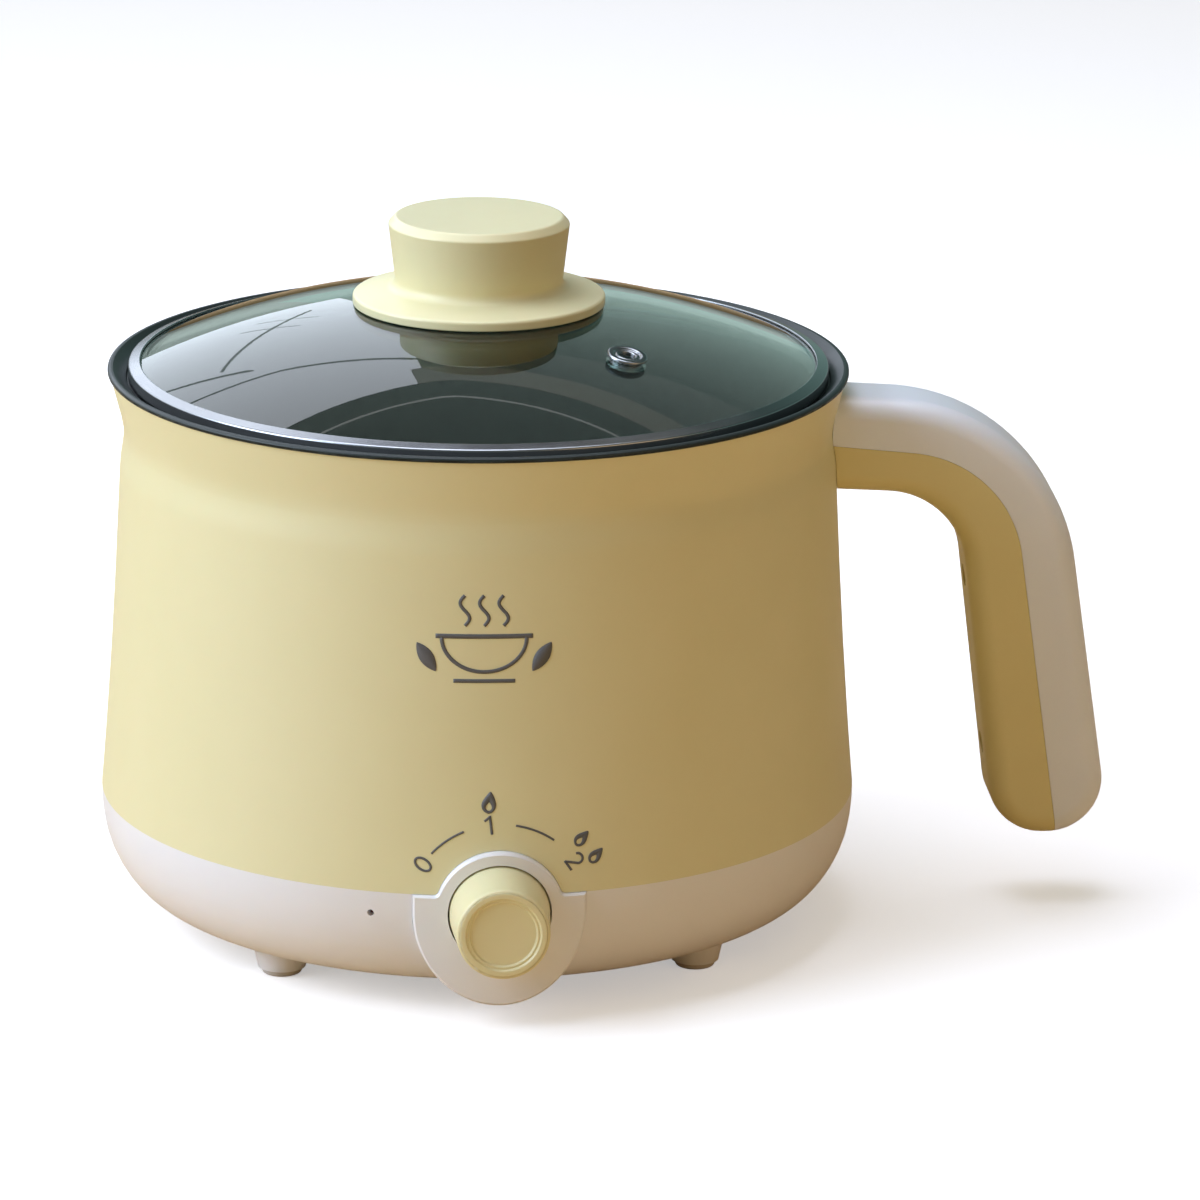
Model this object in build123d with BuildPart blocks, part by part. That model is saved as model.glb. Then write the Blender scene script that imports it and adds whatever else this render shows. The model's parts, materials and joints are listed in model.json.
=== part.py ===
"""Electric hot pot with a loose glass lid.

Every piece is drawn round the pot's axis, with +Z up, the control dial facing
-Y and the handle pointing to +X.  The pieces are saved with the origin at
table level under the middle of the whole outline.  All sizes are in
millimetres.
"""
from build123d import *
from math import asin, cos, radians, sin, sqrt, tan
import os

os.makedirs("parts", exist_ok=True)

# ---------------------------------------------------------------- driving sizes
# Clearances between neighbouring pieces
fit_gap = 0.1           # between fixed pieces that follow each other's curves
moving_gap = 0.3        # between the dial and the plate round it
shaft_gap = 0.06        # running fit of the switch shaft
thread_gap = 0.05       # between a screw's shank and its thread
through = 1.0           # how far cuts start and end beyond a face
edge_break = 0.5        # small chamfers on moulded and stamped edges
case_chamfer = 1.0      # chamfers on the electrical cases
far = 400.0             # size of the boxes that trim pieces

# Body heights and radii
rim_z = 152.0           # underside of the pot's rim
rim_radius = 100.0      # outside of the pot's rim
foot_lift = 7.5         # underside of the base above the table
seam_z = 36.4           # joint between the yellow shell and the white base

# Yellow outer shell
shell_wall = 2.4
seam_lean = -0.09       # slope of the outline at the seam
shoulder_lean = -0.05   # slope of the outline at the shoulder
rim_overhang = 0.7      # pot's rim beyond the shell's collar
collar_flare = 3.4      # collar's radius beyond the neck's
neck_drop = 18.0        # rim's underside above the neck
shoulder_swell = 1.1    # shoulder's radius beyond the neck's
shoulder_drop = 26.0    # rim's underside above the shoulder
belly_swell = 2.5       # radius half way up beyond the shoulder's
seam_swell = 3.5        # seam's radius beyond that

# White base
base_wall = 2.5
base_overhang = 21.0    # seam's radius beyond the flat part of the underside
tongue_height = 4.0     # locating lip inside the shell
tongue_wall = 1.6
tongue_root = 5.0       # tongue's reach below the seam
tongue_draft = 0.3      # lead-in of the tongue
knee_reach = 0.753      # rounded knee of the base, as a share of its overhang
knee_drop = 0.707       # and of its height
knee_inset_reach = 0.72     # how the knee moves when the outline is inset
knee_inset_rise = 0.69

# Inner pot
pot_wall = 1.6
pot_taper = 2.0         # inside radius below the ledge beyond that at the floor
pot_floor_z = 58.0      # top of the cooking surface
pot_corner = 14.0       # inside radius between wall and floor
ledge_drop = 2.2        # lid ledge below the rim's underside
ledge_inset = 5.0       # rim's outside beyond the outer edge of the lid ledge
ledge_width = 6.5
ledge_step = 0.9        # upright part of the ledge's edge
rim_metal = 1.2         # metal round the ledge
rim_seat_width = 1.7    # rim's flat underside
rim_bead = 1.4          # height of the rolled edge
rim_crest_inset = 1.5   # rim's outside beyond its crest
rim_corner = 0.6        # chamfer outside the rolled edge
collar_relief = 1.5     # shell's bore starts this far below the ledge

# Lid
lid_play = 0.5          # ledge's edge beyond the steel band
band_metal = 0.7
band_lip_width = 3.3    # band's width on top of the glass
band_sole_width = 4.1   # and under the glass
band_corner = 0.4
band_bevel = 0.5        # outer bevel on top of the band
glass_thickness = 4.0
glass_crown = 22.6      # top of the glass above the ledge
glass_edge_height = 3.45    # upper edge of the glass above the ledge
vent_distance = 57.0    # steam vent from the axis
vent_angle = -50.0      # steam vent's bearing from +X
vent_flange_radius = 5.35
vent_tube_radius = 4.2
vent_bore_radius = 1.8
vent_flange = 1.0

# Lid knob
knob_flange_radius = 34.0
knob_flange_edge = 2.6  # height of the flange's rim
knob_flange_rise = 2.2  # slope of the flange's top
knob_flange_round = 1.0
knob_foot_radius = 22.4     # stem just above the flange
knob_foot_fillet = 2.5
knob_head_flare = 2.0   # stem's radius at the top beyond that
knob_height = 23.9      # from the underside of the flange's rim to the top
knob_chamfer = 2.0
knob_wall = 3.0
knob_boss_radius = 6.0
gasket_inset = 4.0      # flange's edge beyond the gasket
gasket_thickness = 1.2
gasket_room = 0.5       # pocket round the gasket
lid_screw_radius = 2.0
lid_screw_length = 18.0
lid_screw_head = 2.4
lid_screw_head_radius = 5.5
lid_washer_margin = 3.5     # washer beyond the screw's head
lid_washer_thickness = 1.0
lid_seal_margin = 1.0   # seal beyond the washer
lid_seal_thickness = 1.5
glass_hole_room = 1.5   # glass's hole round the screw

# Control plate and dial
plate_proud = 1.0       # plate's curved face beyond the seam's radius
plate_half_width = 22.7
plate_drop = 25.0       # lowest point below the dial's axis
plate_dome_width = 3.7  # plate's dome beyond the dial
plate_wall = 3.2
plate_skirt = 2.2
plate_depth = 25.0
plate_edge = 0.6        # bevel round the front edge
plate_neck_round = 1.5  # inside corners between the dome and the wings
plate_tail = 1.5        # skirt behind the inner faces of the walls
dial_z = 31.4
dial_base_radius = 13.3
dial_face_radius = 12.1
dial_reach = 16.0       # dial in front of the plate
dial_wall = 2.4
dial_round = 1.6
dial_ring_radius = 9.4  # groove on the dial's face
dial_ring_width = 0.9
dial_ring_depth = 0.7
dial_boss_radius = 5.2
dial_clearance = 0.7    # behind the dial, over the switch's screws
well_depth = 4.5        # recess that the dial sinks into
well_floor = 2.2
well_wall = 2.2

# Rotary switch
switch_radius = 13.0
switch_depth = 15.0
switch_neck_radius = 4.6
switch_back_wall = 2.0
shaft_radius = 3.0
shaft_flat = 0.8        # depth of the D flat
shaft_insertion = 10.0  # shaft inside the dial
switch_screw_radius = 1.5
switch_screw_head_radius = 2.7
switch_screw_head = 1.2
switch_screw_offset = 9.3
switch_screw_grip = 5.0     # thread inside the switch
spade_width = 5.0
spade_thickness = 0.8
spade_length = 7.0
spade_offset = 6.0
spade_drop = 4.0        # lower pair of terminals below the dial's axis
spade_rise = 6.0        # upper terminal above it

# Cooling slots
slot_ring_radius = 36.0
slot_count = 16
slot_length = 14.0
slot_width = 3.0

# Feet
foot_inset = 3.5        # flat part of the underside beyond the feet's middles
foot_pad_radius = 5.4
foot_stub_margin = 1.0  # moulded stub round the pad
foot_stub_z = 1.8       # lower face of the moulded stub
foot_flare = 9.0
foot_flare_height = 12.0
foot_pad_recess = 1.2
foot_plug_radius = 2.0
foot_plug_height = 3.0

# Posts that clamp the base to the heating plate
post_inset = 16.0       # flat part of the underside beyond the posts' middles
post_angle = 40.0       # from the X axis
post_radius = 6.2
post_neck_radius = 4.0
post_shoulder_z = 34.8  # carries the heat shield
clamp_screw_radius = 2.0
clamp_head_radius = 3.8
clamp_head = 2.4
clamp_seat_z = 30.0

# Heating
heater_plate_margin = 4.0   # plate's edge beyond the posts' middles
heater_plate_thickness = 6.0
heater_boss_radius = 5.5
heater_boss_height = 6.0
heater_boss_bite = 2.0  # screw's thread above the boss
element_inset = 8.0     # posts' middles beyond the element's ring
element_tube = 3.3
element_gap_angle = 40.0
element_end_radius = 4.2
element_end_drop = 11.0
element_pin_radius = 1.5
element_pin_length = 4.0
shield_margin = 8.0     # shield's edge beyond the posts' middles
shield_metal = 0.8
shield_hole_radius = 24.0
shield_wire_hole = 4.0
earth_y = 44.0

# Thermostat and thermal fuse
thermostat_radius = 7.5
thermostat_cap_radius = 8.6
thermostat_cap = 1.0
thermostat_height = 7.4
strap_metal = 0.8
strap_half_length = 18.0
strap_width = 10.0
strap_screw_x = 14.5
strap_screw_radius = 1.5
strap_screw_head_radius = 2.8
strap_screw_head = 1.6
strap_boss_radius = 3.2
strap_ring = 2.0        # width of the strap's ring round the cap
fuse_inset = 24.0       # element's ring beyond the fuse
fuse_radius = 2.0
fuse_length = 14.0
fuse_lead_radius = 0.5
fuse_lead = 8.0
clip_metal = 0.6
clip_width = 6.0
clip_foot = 3.0
thermostat_spade_x = 5.0

# Power inlet at the back of the base
inlet_z = 23.0
inlet_proud = 0.4       # flat pad in front of the seam's radius
inlet_width = 24.2      # clear width of the socket
inlet_height = 16.6
inlet_depth = 17.5
inlet_wall = 1.9
inlet_back = 3.0
inlet_flange_width = 33.0
inlet_flange_height = 25.0
inlet_flange = 2.0
inlet_corner = 4.0      # cut corners of the socket
inlet_pad_margin = 1.5  # flat pad of the base round the flange
inlet_pad_corner = 3.0
inlet_flange_corner = 2.5
inlet_hole_corner = 1.5
inlet_body_corner = 1.2
pin_spacing = 7.0
pin_offset = 2.0
pin_width = 2.0
pin_height = 4.0
pin_recess = 2.6

# Wiring
wire_radius = 1.3
wire_bend = 3.0
wire_lead = 12.0        # straight run of a wire at a terminal
wire_end_gap = 1.0      # wires stop this far from the block's sides
switch_lead = 17.0      # straight runs behind the switch
thermostat_lead = 15.0
neutral_lead = 16.0     # straight run in front of the inlet
thermostat_run_y = -20.0    # turning points of the wires on the base
thermostat_run_lift = 1.0
heater_run_y = 6.0
neutral_turn = 14.0
neutral_lift = 2.0
fuse_run_y = 30.0
fuse_turn = 10.0
lamp_run_y = 14.0
lamp_run_shift = 4.0
lamp_turn = (-10.0, -50.0)
block_x = 26.0
block_y = 35.0
block_length = 20.0
block_width = 14.0
block_height = 10.0
block_pad = 2.0
block_pitch = 10.0
block_pad_inset = 2.0
diode_radius = 2.6
diode_length = 9.0

# Indicator lamp
lamp_bearing = 19.0     # to the left of the dial, seen from the axis
lamp_z = 30.4
lamp_hole_radius = 0.9
lamp_radius = 2.5
lamp_length = 8.0
lamp_tube_wall = 1.2
lamp_tube_length = 7.0
lamp_seat_bite = 0.4    # lamp's seat inside the wall's inner face at the seam
lens_radius = 1.9
lens_length = 1.6

# Handle: an arm that leaves the body, then a grip that hangs down
handle_width = 25.5
handle_edge = 6.0       # rounding of the long edges
handle_wall = 3.0
arm_top_fall = 3.4      # degrees below level
arm_split_fall = 5.7
arm_under_fall = 3.0
grip_outer_lean = 8.5   # degrees outwards from upright
grip_split_lean = 8.2
grip_inner_lean = 7.1
grip_ref_z = 65.0       # the grip's reaches are given at this Z
arm_top_drop = 7.0      # rim's underside above the arm, at the rim's outside
arm_outer_depth = 13.2  # depth of the arm's white half there
arm_inner_depth = 13.0  # and of its yellow half
grip_outer_reach = 67.8     # the grip beyond the rim's outside
grip_outer_depth = 15.0     # depth of the grip's white half
grip_inner_depth = 16.1     # and of its yellow half
outer_bend = 54.0
split_bend = 34.0
inner_bend = 23.0
grip_end_z = 20.2
grip_end_round = 15.0
arm_root_depth = 10.0   # the arm is drawn from inside the body and trimmed
strap_plate = 1.5       # steel core of the handle
core_width = 18.0
core_end_z = 62.0
core_ledge = 2.5        # ledge under each edge of the steel core
core_flange_reach = 8.6     # core's flange beyond the neck's radius
core_flange_height = 17.0
core_corner = 4.0
handle_screw_radius = 2.0
handle_screw_head_radius = 3.8
handle_screw_head = 2.0
handle_screw_rise = 5.5     # handle screws above and below the middle of the flange
shell_pad_proud = 0.8
shell_pad_margin = 2.0  # shell's pad round the handle screws' heads
shell_pad_corner = 2.0
core_flange_drop = 1.0  # middle of the core's flange below the arm's joint
flange_hole_depth = 3.0     # handle screws' holes beyond the core
flange_screw_proud = 1.0    # handle screws beyond the core
grip_screw_radius = 1.6
grip_screw_head_radius = 3.0
grip_screw_head = 2.2
grip_screw_seat = 7.0   # head's seat behind the inner face of the grip
grip_screw_length = 19.0
grip_screw_zs = (92.0, 44.0)
grip_boss_radius = 5.0

# ---------------------------------------------------------------- derived sizes
neck_z = rim_z - neck_drop
shoulder_z = rim_z - shoulder_drop
collar_radius = rim_radius - rim_overhang
neck_radius = collar_radius - collar_flare
shoulder_radius = neck_radius + shoulder_swell
belly_radius = shoulder_radius + belly_swell
seam_radius = belly_radius + seam_swell
base_flat_radius = seam_radius - base_overhang
rim_seat_radius = rim_radius - rim_seat_width
rim_crest_radius = rim_radius - rim_crest_inset
ledge_radius = rim_radius - ledge_inset
pot_top_radius = ledge_radius - ledge_width
pot_floor_radius = pot_top_radius - pot_taper
band_radius = ledge_radius - lid_play
band_lip_radius = band_radius - band_lip_width
band_sole_radius = band_radius - band_sole_width
knob_head_radius = knob_foot_radius + knob_head_flare
gasket_radius = knob_flange_radius - gasket_inset
lid_washer_radius = lid_screw_head_radius + lid_washer_margin
lid_seal_radius = lid_washer_radius + lid_seal_margin
glass_hole_radius = lid_screw_radius + glass_hole_room
plate_radius = seam_radius + plate_proud
plate_face_y = -plate_radius
plate_back_y = plate_face_y + plate_depth
plate_dome_radius = dial_base_radius + plate_dome_width
foot_distance = base_flat_radius - foot_inset
foot_stub_radius = foot_pad_radius + foot_stub_margin
post_distance = base_flat_radius - post_inset
heater_plate_radius = post_distance + heater_plate_margin
element_radius = post_distance - element_inset
fuse_x = fuse_inset - element_radius
shield_radius = post_distance + shield_margin
arm_top_z = rim_z - arm_top_drop
arm_split_z = arm_top_z - arm_outer_depth
arm_under_z = arm_split_z - arm_inner_depth
arm_ref_x = rim_radius
arm_root_x = arm_ref_x - arm_root_depth
grip_outer_x = arm_ref_x + grip_outer_reach
grip_split_x = grip_outer_x - grip_outer_depth
grip_inner_x = grip_split_x - grip_inner_depth
core_flange_x = neck_radius + core_flange_reach
ledge_z = rim_z - ledge_drop
collar_bore = ledge_radius + rim_metal + moving_gap
collar_bore_z = ledge_z - rim_metal - collar_relief
collar_lean = (collar_radius - neck_radius) / (rim_z - neck_z)
base_inner_z = foot_lift + base_wall
pot_under_z = pot_floor_z - pot_wall
heater_under_z = pot_under_z - heater_plate_thickness
boss_under_z = heater_under_z - heater_boss_height
glass_edge_radius = band_radius - band_metal - fit_gap
glass_rise = glass_crown - glass_edge_height
dome_radius = (glass_edge_radius**2 + glass_rise**2) / (2 * glass_rise)
glass_crown_z = ledge_z + glass_crown
dome_centre_z = glass_crown_z - dome_radius
dial_face_y = plate_face_y - dial_reach
well_floor_y = plate_face_y + well_depth
switch_front_y = well_floor_y + well_floor
switch_back_y = switch_front_y + switch_depth
post_sites = [
    (post_distance * cos(radians(a)), post_distance * sin(radians(a)))
    for a in (post_angle, 180 - post_angle, 180 + post_angle, -post_angle)
]
foot_sites = [
    (foot_distance * cos(radians(a)), foot_distance * sin(radians(a))) for a in (45, 135, 225, 315)
]
thermostat_under_z = heater_under_z - thermostat_height
inlet_face_y = seam_radius + inlet_proud + inlet_flange
grip_round_z = grip_end_z + grip_end_round
handle_reach = (
    grip_outer_x
    + tan(radians(grip_outer_lean)) * (grip_ref_z - grip_round_z)
    + grip_end_round * (1 - 1 / cos(radians(grip_outer_lean)))
)
middle_x = (handle_reach - seam_radius) / 2
middle_y = (inlet_face_y + dial_face_y) / 2
to_footprint = Location((-middle_x, -middle_y, 0))
inlet_body_width = inlet_width + 2 * inlet_wall
inlet_body_height = inlet_height + 2 * inlet_wall
pin_sites = [
    (-pin_spacing, inlet_z - pin_offset), (pin_spacing, inlet_z - pin_offset), (0, inlet_z + pin_offset)
]
strap_sites = [(0, -strap_screw_x), (0, strap_screw_x)]
thermostat_strap_z = heater_under_z - thermostat_cap - strap_metal
element_end_angle = radians(180 - element_gap_angle / 2)
element_ends = [
    (element_radius * cos(element_end_angle), side * element_radius * sin(element_end_angle))
    for side in (-1, 1)
]
element_pin_top_z = heater_under_z + element_tube + fit_gap - element_end_drop
element_wire_z = element_pin_top_z - element_pin_length / 2
fuse_z = heater_under_z - fuse_radius - fit_gap
block_z = base_inner_z + block_pad
block_wire_z = block_z + block_height / 2
block_channels = (block_x - block_pitch / 2, block_x + block_pitch / 2)
front_space = Pos(0, plate_back_y - far / 2, 0) * Box(far, far, far)


def dome_z(radius, depth=0.0):
    """Height of the lid's dome at a radius, measured depth below its upper surface."""
    return dome_centre_z + sqrt((dome_radius - depth) ** 2 - radius**2)


def dome_arc(start, stop, depth=0.0):
    """Arc of the dome between two radii, measured depth below its upper surface."""
    middle = (start + stop) / 2
    return ThreePointArc(
        (start, dome_z(start, depth)), (middle, dome_z(middle, depth)), (stop, dome_z(stop, depth))
    )


def shell_line(inset):
    """The yellow shell's outline from the seam to the neck, moved inwards."""
    return Spline(
        (seam_radius - inset, seam_z),
        (belly_radius - inset, (seam_z + shoulder_z) / 2),
        (shoulder_radius - inset, shoulder_z),
        tangents=((seam_lean, 1), (shoulder_lean, 1)),
    )


def neck_line(inset, top_z):
    """The shell's outline from the shoulder through the neck to the collar."""
    return Spline(
        (shoulder_radius - inset, shoulder_z),
        (neck_radius - inset, neck_z),
        (collar_radius - inset - collar_lean * (rim_z - top_z), top_z),
        tangents=((shoulder_lean, 1), (collar_lean, 1)),
    )


def base_line(inset):
    """The white base's outline from the seam round to its flat underside."""
    knee_radius = base_flat_radius + knee_reach * (seam_radius - base_flat_radius)
    knee_z = seam_z - knee_drop * (seam_z - foot_lift)
    return Spline(
        (seam_radius - inset, seam_z),
        (knee_radius - knee_inset_reach * inset, knee_z + knee_inset_rise * inset),
        (base_flat_radius, foot_lift + inset),
        tangents=((0, -1), (-1, 0)),
    )


def body_core(inset, top_z):
    """Solid of revolution inside the shell and the base, inset from their outer faces."""
    with BuildPart() as core:
        with BuildSketch(Plane.XZ):
            with BuildLine():
                base_line(inset)
                shell_line(inset)
                neck_line(inset, top_z)
                rim_end = (collar_radius - inset - collar_lean * (rim_z - top_z), top_z)
                Polyline(rim_end, (0, top_z), (0, foot_lift + inset), (base_flat_radius, foot_lift + inset))
            make_face()
        revolve(axis=Axis.Z)
    return core.part


def plate_outline(grow):
    """Outline of the control plate, seen from the front and grown outwards."""
    with BuildSketch(Plane.XZ) as outline:
        with Locations((0, dial_z)):
            Circle(plate_dome_radius + grow)
            Ellipse(plate_half_width + grow, plate_drop + grow)
        wing_top = seam_z + grow
        keep_height = plate_drop * 2
        with Locations((0, wing_top + keep_height / 2)):
            Rectangle(plate_half_width * 3, keep_height, mode=Mode.SUBTRACT)
        with BuildLine():
            side = plate_half_width + grow
            Polyline((-side, dial_z), (side, dial_z), (side, wing_top), (-side, wing_top), (-side, dial_z))
        make_face()
        with Locations((0, dial_z)):
            Circle(plate_dome_radius + grow)
        necks = outline.vertices().filter_by(
            lambda v: abs(v.Y - wing_top) < fit_gap and abs(v.X) < plate_dome_radius + grow
        )
        fillet(necks, plate_neck_round - grow)
    return outline.sketch


def hook_points(line, end_z):
    """Root, corner and end of a line that follows the arm and then the grip."""
    arm_z, fall, grip_x, grip_lean, _ = line
    slope = tan(radians(fall))
    lean = tan(radians(grip_lean))
    corner_z = (arm_z - slope * (grip_x + lean * grip_ref_z - arm_ref_x)) / (1 - slope * lean)
    corner_x = grip_x + lean * (grip_ref_z - corner_z)
    root = (arm_root_x, arm_z + slope * (arm_ref_x - arm_root_x))
    end = (grip_x + lean * (grip_ref_z - end_z), end_z)
    return root, (corner_x, corner_z), end


def hook_band(upper, lower, end_z):
    """Area between two hook lines: (height and fall of arm, reach and lean of grip, bend)."""
    upper_root, upper_corner, upper_end = hook_points(upper, end_z)
    lower_root, lower_corner, lower_end = hook_points(lower, end_z)
    with BuildSketch(Plane.XZ) as band:
        with BuildLine():
            FilletPolyline(upper_root, upper_corner, upper_end, radius=upper[-1])
            Line(upper_end, lower_end)
            FilletPolyline(lower_end, lower_corner, lower_root, radius=lower[-1])
            Line(lower_root, upper_root)
        make_face()
    return band.sketch


def screw(seat, direction, head_radius, head, radius, length):
    """Pan-head screw whose head sits on a point and whose shank runs along a direction."""
    with BuildPart() as fastener:
        with BuildSketch(Plane(origin=seat, z_dir=direction)):
            Circle(radius)
        extrude(amount=length)
        with BuildSketch(Plane(origin=seat, z_dir=direction)):
            Circle(head_radius)
        extrude(amount=-head)
        rims = fastener.edges().filter_by(GeomType.CIRCLE).sort_by(Axis(seat, direction))
        chamfer(rims[0], head / 4)
    return fastener.part


# ---------------------------------------------------------------- inner pot
with BuildPart() as inner_pot:
    slope_run = rim_crest_radius - ledge_radius
    slope_rise = rim_z + rim_bead - ledge_z - ledge_step
    outer_ledge = ledge_radius + rim_metal
    slope_foot_z = rim_z - (rim_seat_radius - outer_ledge) * slope_rise / slope_run
    with BuildSketch(Plane.XZ):
        with BuildLine():
            FilletPolyline(
                (0, pot_under_z),
                (0, pot_floor_z),
                (pot_floor_radius, pot_floor_z),
                (pot_top_radius, ledge_z - pot_wall),
                (pot_top_radius + pot_wall, ledge_z),
                (ledge_radius, ledge_z),
                (ledge_radius, ledge_z + ledge_step),
                (rim_crest_radius, rim_z + rim_bead),
                (rim_radius - rim_corner, rim_z + rim_bead),
                (rim_radius, rim_z + rim_bead - rim_corner),
                (rim_radius, rim_z),
                (rim_seat_radius, rim_z),
                (outer_ledge, slope_foot_z),
                (outer_ledge, ledge_z - rim_metal),
                (pot_top_radius + pot_wall + rim_metal, ledge_z - rim_metal),
                (pot_top_radius + pot_wall, ledge_z - 2 * rim_metal),
                (pot_floor_radius + pot_wall, pot_under_z),
                radius=[0, 0, pot_corner] + [0] * 13 + [pot_corner + pot_wall],
                close=True,
            )
        make_face()
    revolve(axis=Axis.Z)
inner_pot.part.label = "inner_pot"
inner_pot.part.move(to_footprint)
export_step(inner_pot.part, "parts/inner_pot.step")

# ---------------------------------------------------------------- outer shell
with BuildPart() as outer_shell:
    bore_start = (collar_radius - shell_wall - collar_lean * (rim_z - collar_bore_z), collar_bore_z)
    bore_relief = rim_seat_radius + fit_gap - collar_bore
    with BuildSketch(Plane.XZ):
        with BuildLine():
            shell_line(0)
            neck_line(0, rim_z)
            Polyline(
                (collar_radius, rim_z),
                (rim_seat_radius + fit_gap, rim_z),
                (collar_bore, rim_z - bore_relief),
                (collar_bore, collar_bore_z),
                bore_start,
            )
            neck_line(shell_wall, collar_bore_z)
            shell_line(shell_wall)
            Line((seam_radius - shell_wall, seam_z), (seam_radius, seam_z))
        make_face()
    revolve(axis=Axis.Z)
    pad_x = neck_radius - shell_wall - shell_pad_proud
    pad_height = 2 * (handle_screw_rise + handle_screw_head_radius + shell_pad_margin)
    pad_width = 2 * (handle_screw_head_radius + shell_pad_margin)
    core_flange_z = arm_split_z - core_flange_drop
    with BuildSketch(Plane.YZ.offset(pad_x)):
        with Locations((0, core_flange_z)):
            RectangleRounded(pad_width, pad_height, shell_pad_corner)
    extrude(amount=shell_pad_proud + shell_wall / 2)
    with BuildSketch(Plane.YZ.offset(pad_x - through)):
        with Locations((0, core_flange_z - handle_screw_rise), (0, core_flange_z + handle_screw_rise)):
            Circle(handle_screw_radius + fit_gap)
    extrude(amount=shell_wall * 4, mode=Mode.SUBTRACT)
    add(extrude(plate_outline(fit_gap), amount=2 * rim_radius, mode=Mode.PRIVATE), mode=Mode.SUBTRACT)
outer_shell.part.label = "outer_shell"
outer_shell.part.move(to_footprint)
export_step(outer_shell.part, "parts/outer_shell.step")

# ---------------------------------------------------------------- control plate
with BuildPart() as control_plate:
    extrude(plate_outline(0), amount=far)
    Cylinder(plate_radius, far, mode=Mode.INTERSECT)
    front_rim = control_plate.faces().filter_by(GeomType.CYLINDER).sort_by(Axis.Y)[0].edges()
    chamfer(front_rim, plate_edge)
    cavity = extrude(plate_outline(-plate_skirt), amount=far, mode=Mode.PRIVATE)
    add(cavity & Cylinder(plate_radius - plate_wall, far, mode=Mode.PRIVATE), mode=Mode.SUBTRACT)
    with BuildSketch(Plane.XZ.offset(-plate_back_y)):
        Rectangle(4 * rim_radius, 4 * rim_radius)
    extrude(amount=plate_back_y, mode=Mode.SUBTRACT)
    add(body_core(shell_wall + plate_tail, rim_z - through), mode=Mode.SUBTRACT)
    well_plane = Plane.XZ.offset(-well_floor_y - well_floor)
    with BuildSketch(well_plane):
        with Locations((0, dial_z)):
            Circle(dial_base_radius + moving_gap + well_wall)
    extrude(amount=well_depth + well_floor - plate_wall / 2)
    with BuildSketch(Plane.XZ.offset(-well_floor_y)):
        with Locations((0, dial_z)):
            Circle(dial_base_radius + moving_gap)
    extrude(amount=well_depth + through, mode=Mode.SUBTRACT)
    with BuildSketch(Plane.XZ.offset(-switch_back_y)):
        with Locations((0, dial_z)):
            Circle(switch_neck_radius + fit_gap)
        with Locations((-switch_screw_offset, dial_z), (switch_screw_offset, dial_z)):
            Circle(switch_screw_radius + fit_gap)
    extrude(amount=switch_depth + well_floor + through, mode=Mode.SUBTRACT)
    with BuildSketch(Plane.XZ.offset(-well_floor_y - switch_screw_head)):
        with Locations((-switch_screw_offset, dial_z), (switch_screw_offset, dial_z)):
            Circle(switch_screw_head_radius + fit_gap)
    extrude(amount=switch_screw_head, mode=Mode.SUBTRACT)
control_plate.part.label = "control_plate"
control_plate.part.move(to_footprint)
export_step(control_plate.part, "parts/control_plate.step")

# ---------------------------------------------------------------- dial
with BuildPart() as control_dial:
    dial_back_y = well_floor_y - dial_clearance
    with BuildSketch(Plane.YZ):
        with BuildLine():
            Polyline(
                (dial_back_y, dial_z),
                (dial_back_y, dial_z + dial_base_radius),
                (dial_face_y, dial_z + dial_face_radius),
                (dial_face_y, dial_z),
                (dial_back_y, dial_z),
            )
        make_face()
    dial_axis = Axis((0, 0, dial_z), (0, 1, 0))
    revolve(axis=dial_axis)
    fillet(control_dial.faces().sort_by(Axis.Y)[0].edges(), dial_round)
    with BuildSketch(Plane.XZ.offset(-dial_face_y)):
        with Locations((0, dial_z)):
            Circle(dial_ring_radius)
            Circle(dial_ring_radius - dial_ring_width, mode=Mode.SUBTRACT)
    extrude(amount=-dial_ring_depth, mode=Mode.SUBTRACT)
    cavity_front_y = dial_face_y + dial_wall + dial_ring_depth
    with BuildSketch(Plane.XZ.offset(-dial_back_y)):
        with Locations((0, dial_z)):
            Circle(dial_face_radius - dial_wall)
            Circle(dial_boss_radius, mode=Mode.SUBTRACT)
    extrude(amount=dial_back_y - cavity_front_y, mode=Mode.SUBTRACT)
    shaft_front_y = dial_back_y - shaft_insertion
    with BuildSketch(Plane.XZ.offset(-dial_back_y)):
        with Locations((0, dial_z)):
            Circle(shaft_radius + thread_gap)
        with Locations((0, dial_z + 2 * shaft_radius - shaft_flat + thread_gap)):
            Rectangle(4 * shaft_radius, 2 * shaft_radius, mode=Mode.SUBTRACT)
    extrude(amount=shaft_insertion, mode=Mode.SUBTRACT)
control_dial.part.label = "control_dial"
control_dial.part.move(to_footprint)
export_step(control_dial.part, "parts/control_dial.step")

with BuildPart() as switch_shaft:
    shaft_back_y = switch_back_y - switch_back_wall - moving_gap
    with BuildSketch(Plane.XZ.offset(-shaft_back_y)):
        with Locations((0, dial_z)):
            Circle(shaft_radius)
    extrude(amount=shaft_back_y - shaft_front_y)
    with BuildSketch(Plane.XZ.offset(-dial_back_y)):
        with Locations((0, dial_z + 2 * shaft_radius - shaft_flat)):
            Rectangle(4 * shaft_radius, 2 * shaft_radius)
    extrude(amount=shaft_insertion, mode=Mode.SUBTRACT)
switch_shaft.part.label = "switch_shaft"
switch_shaft.part.move(to_footprint)
export_step(switch_shaft.part, "parts/switch_shaft.step")

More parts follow.
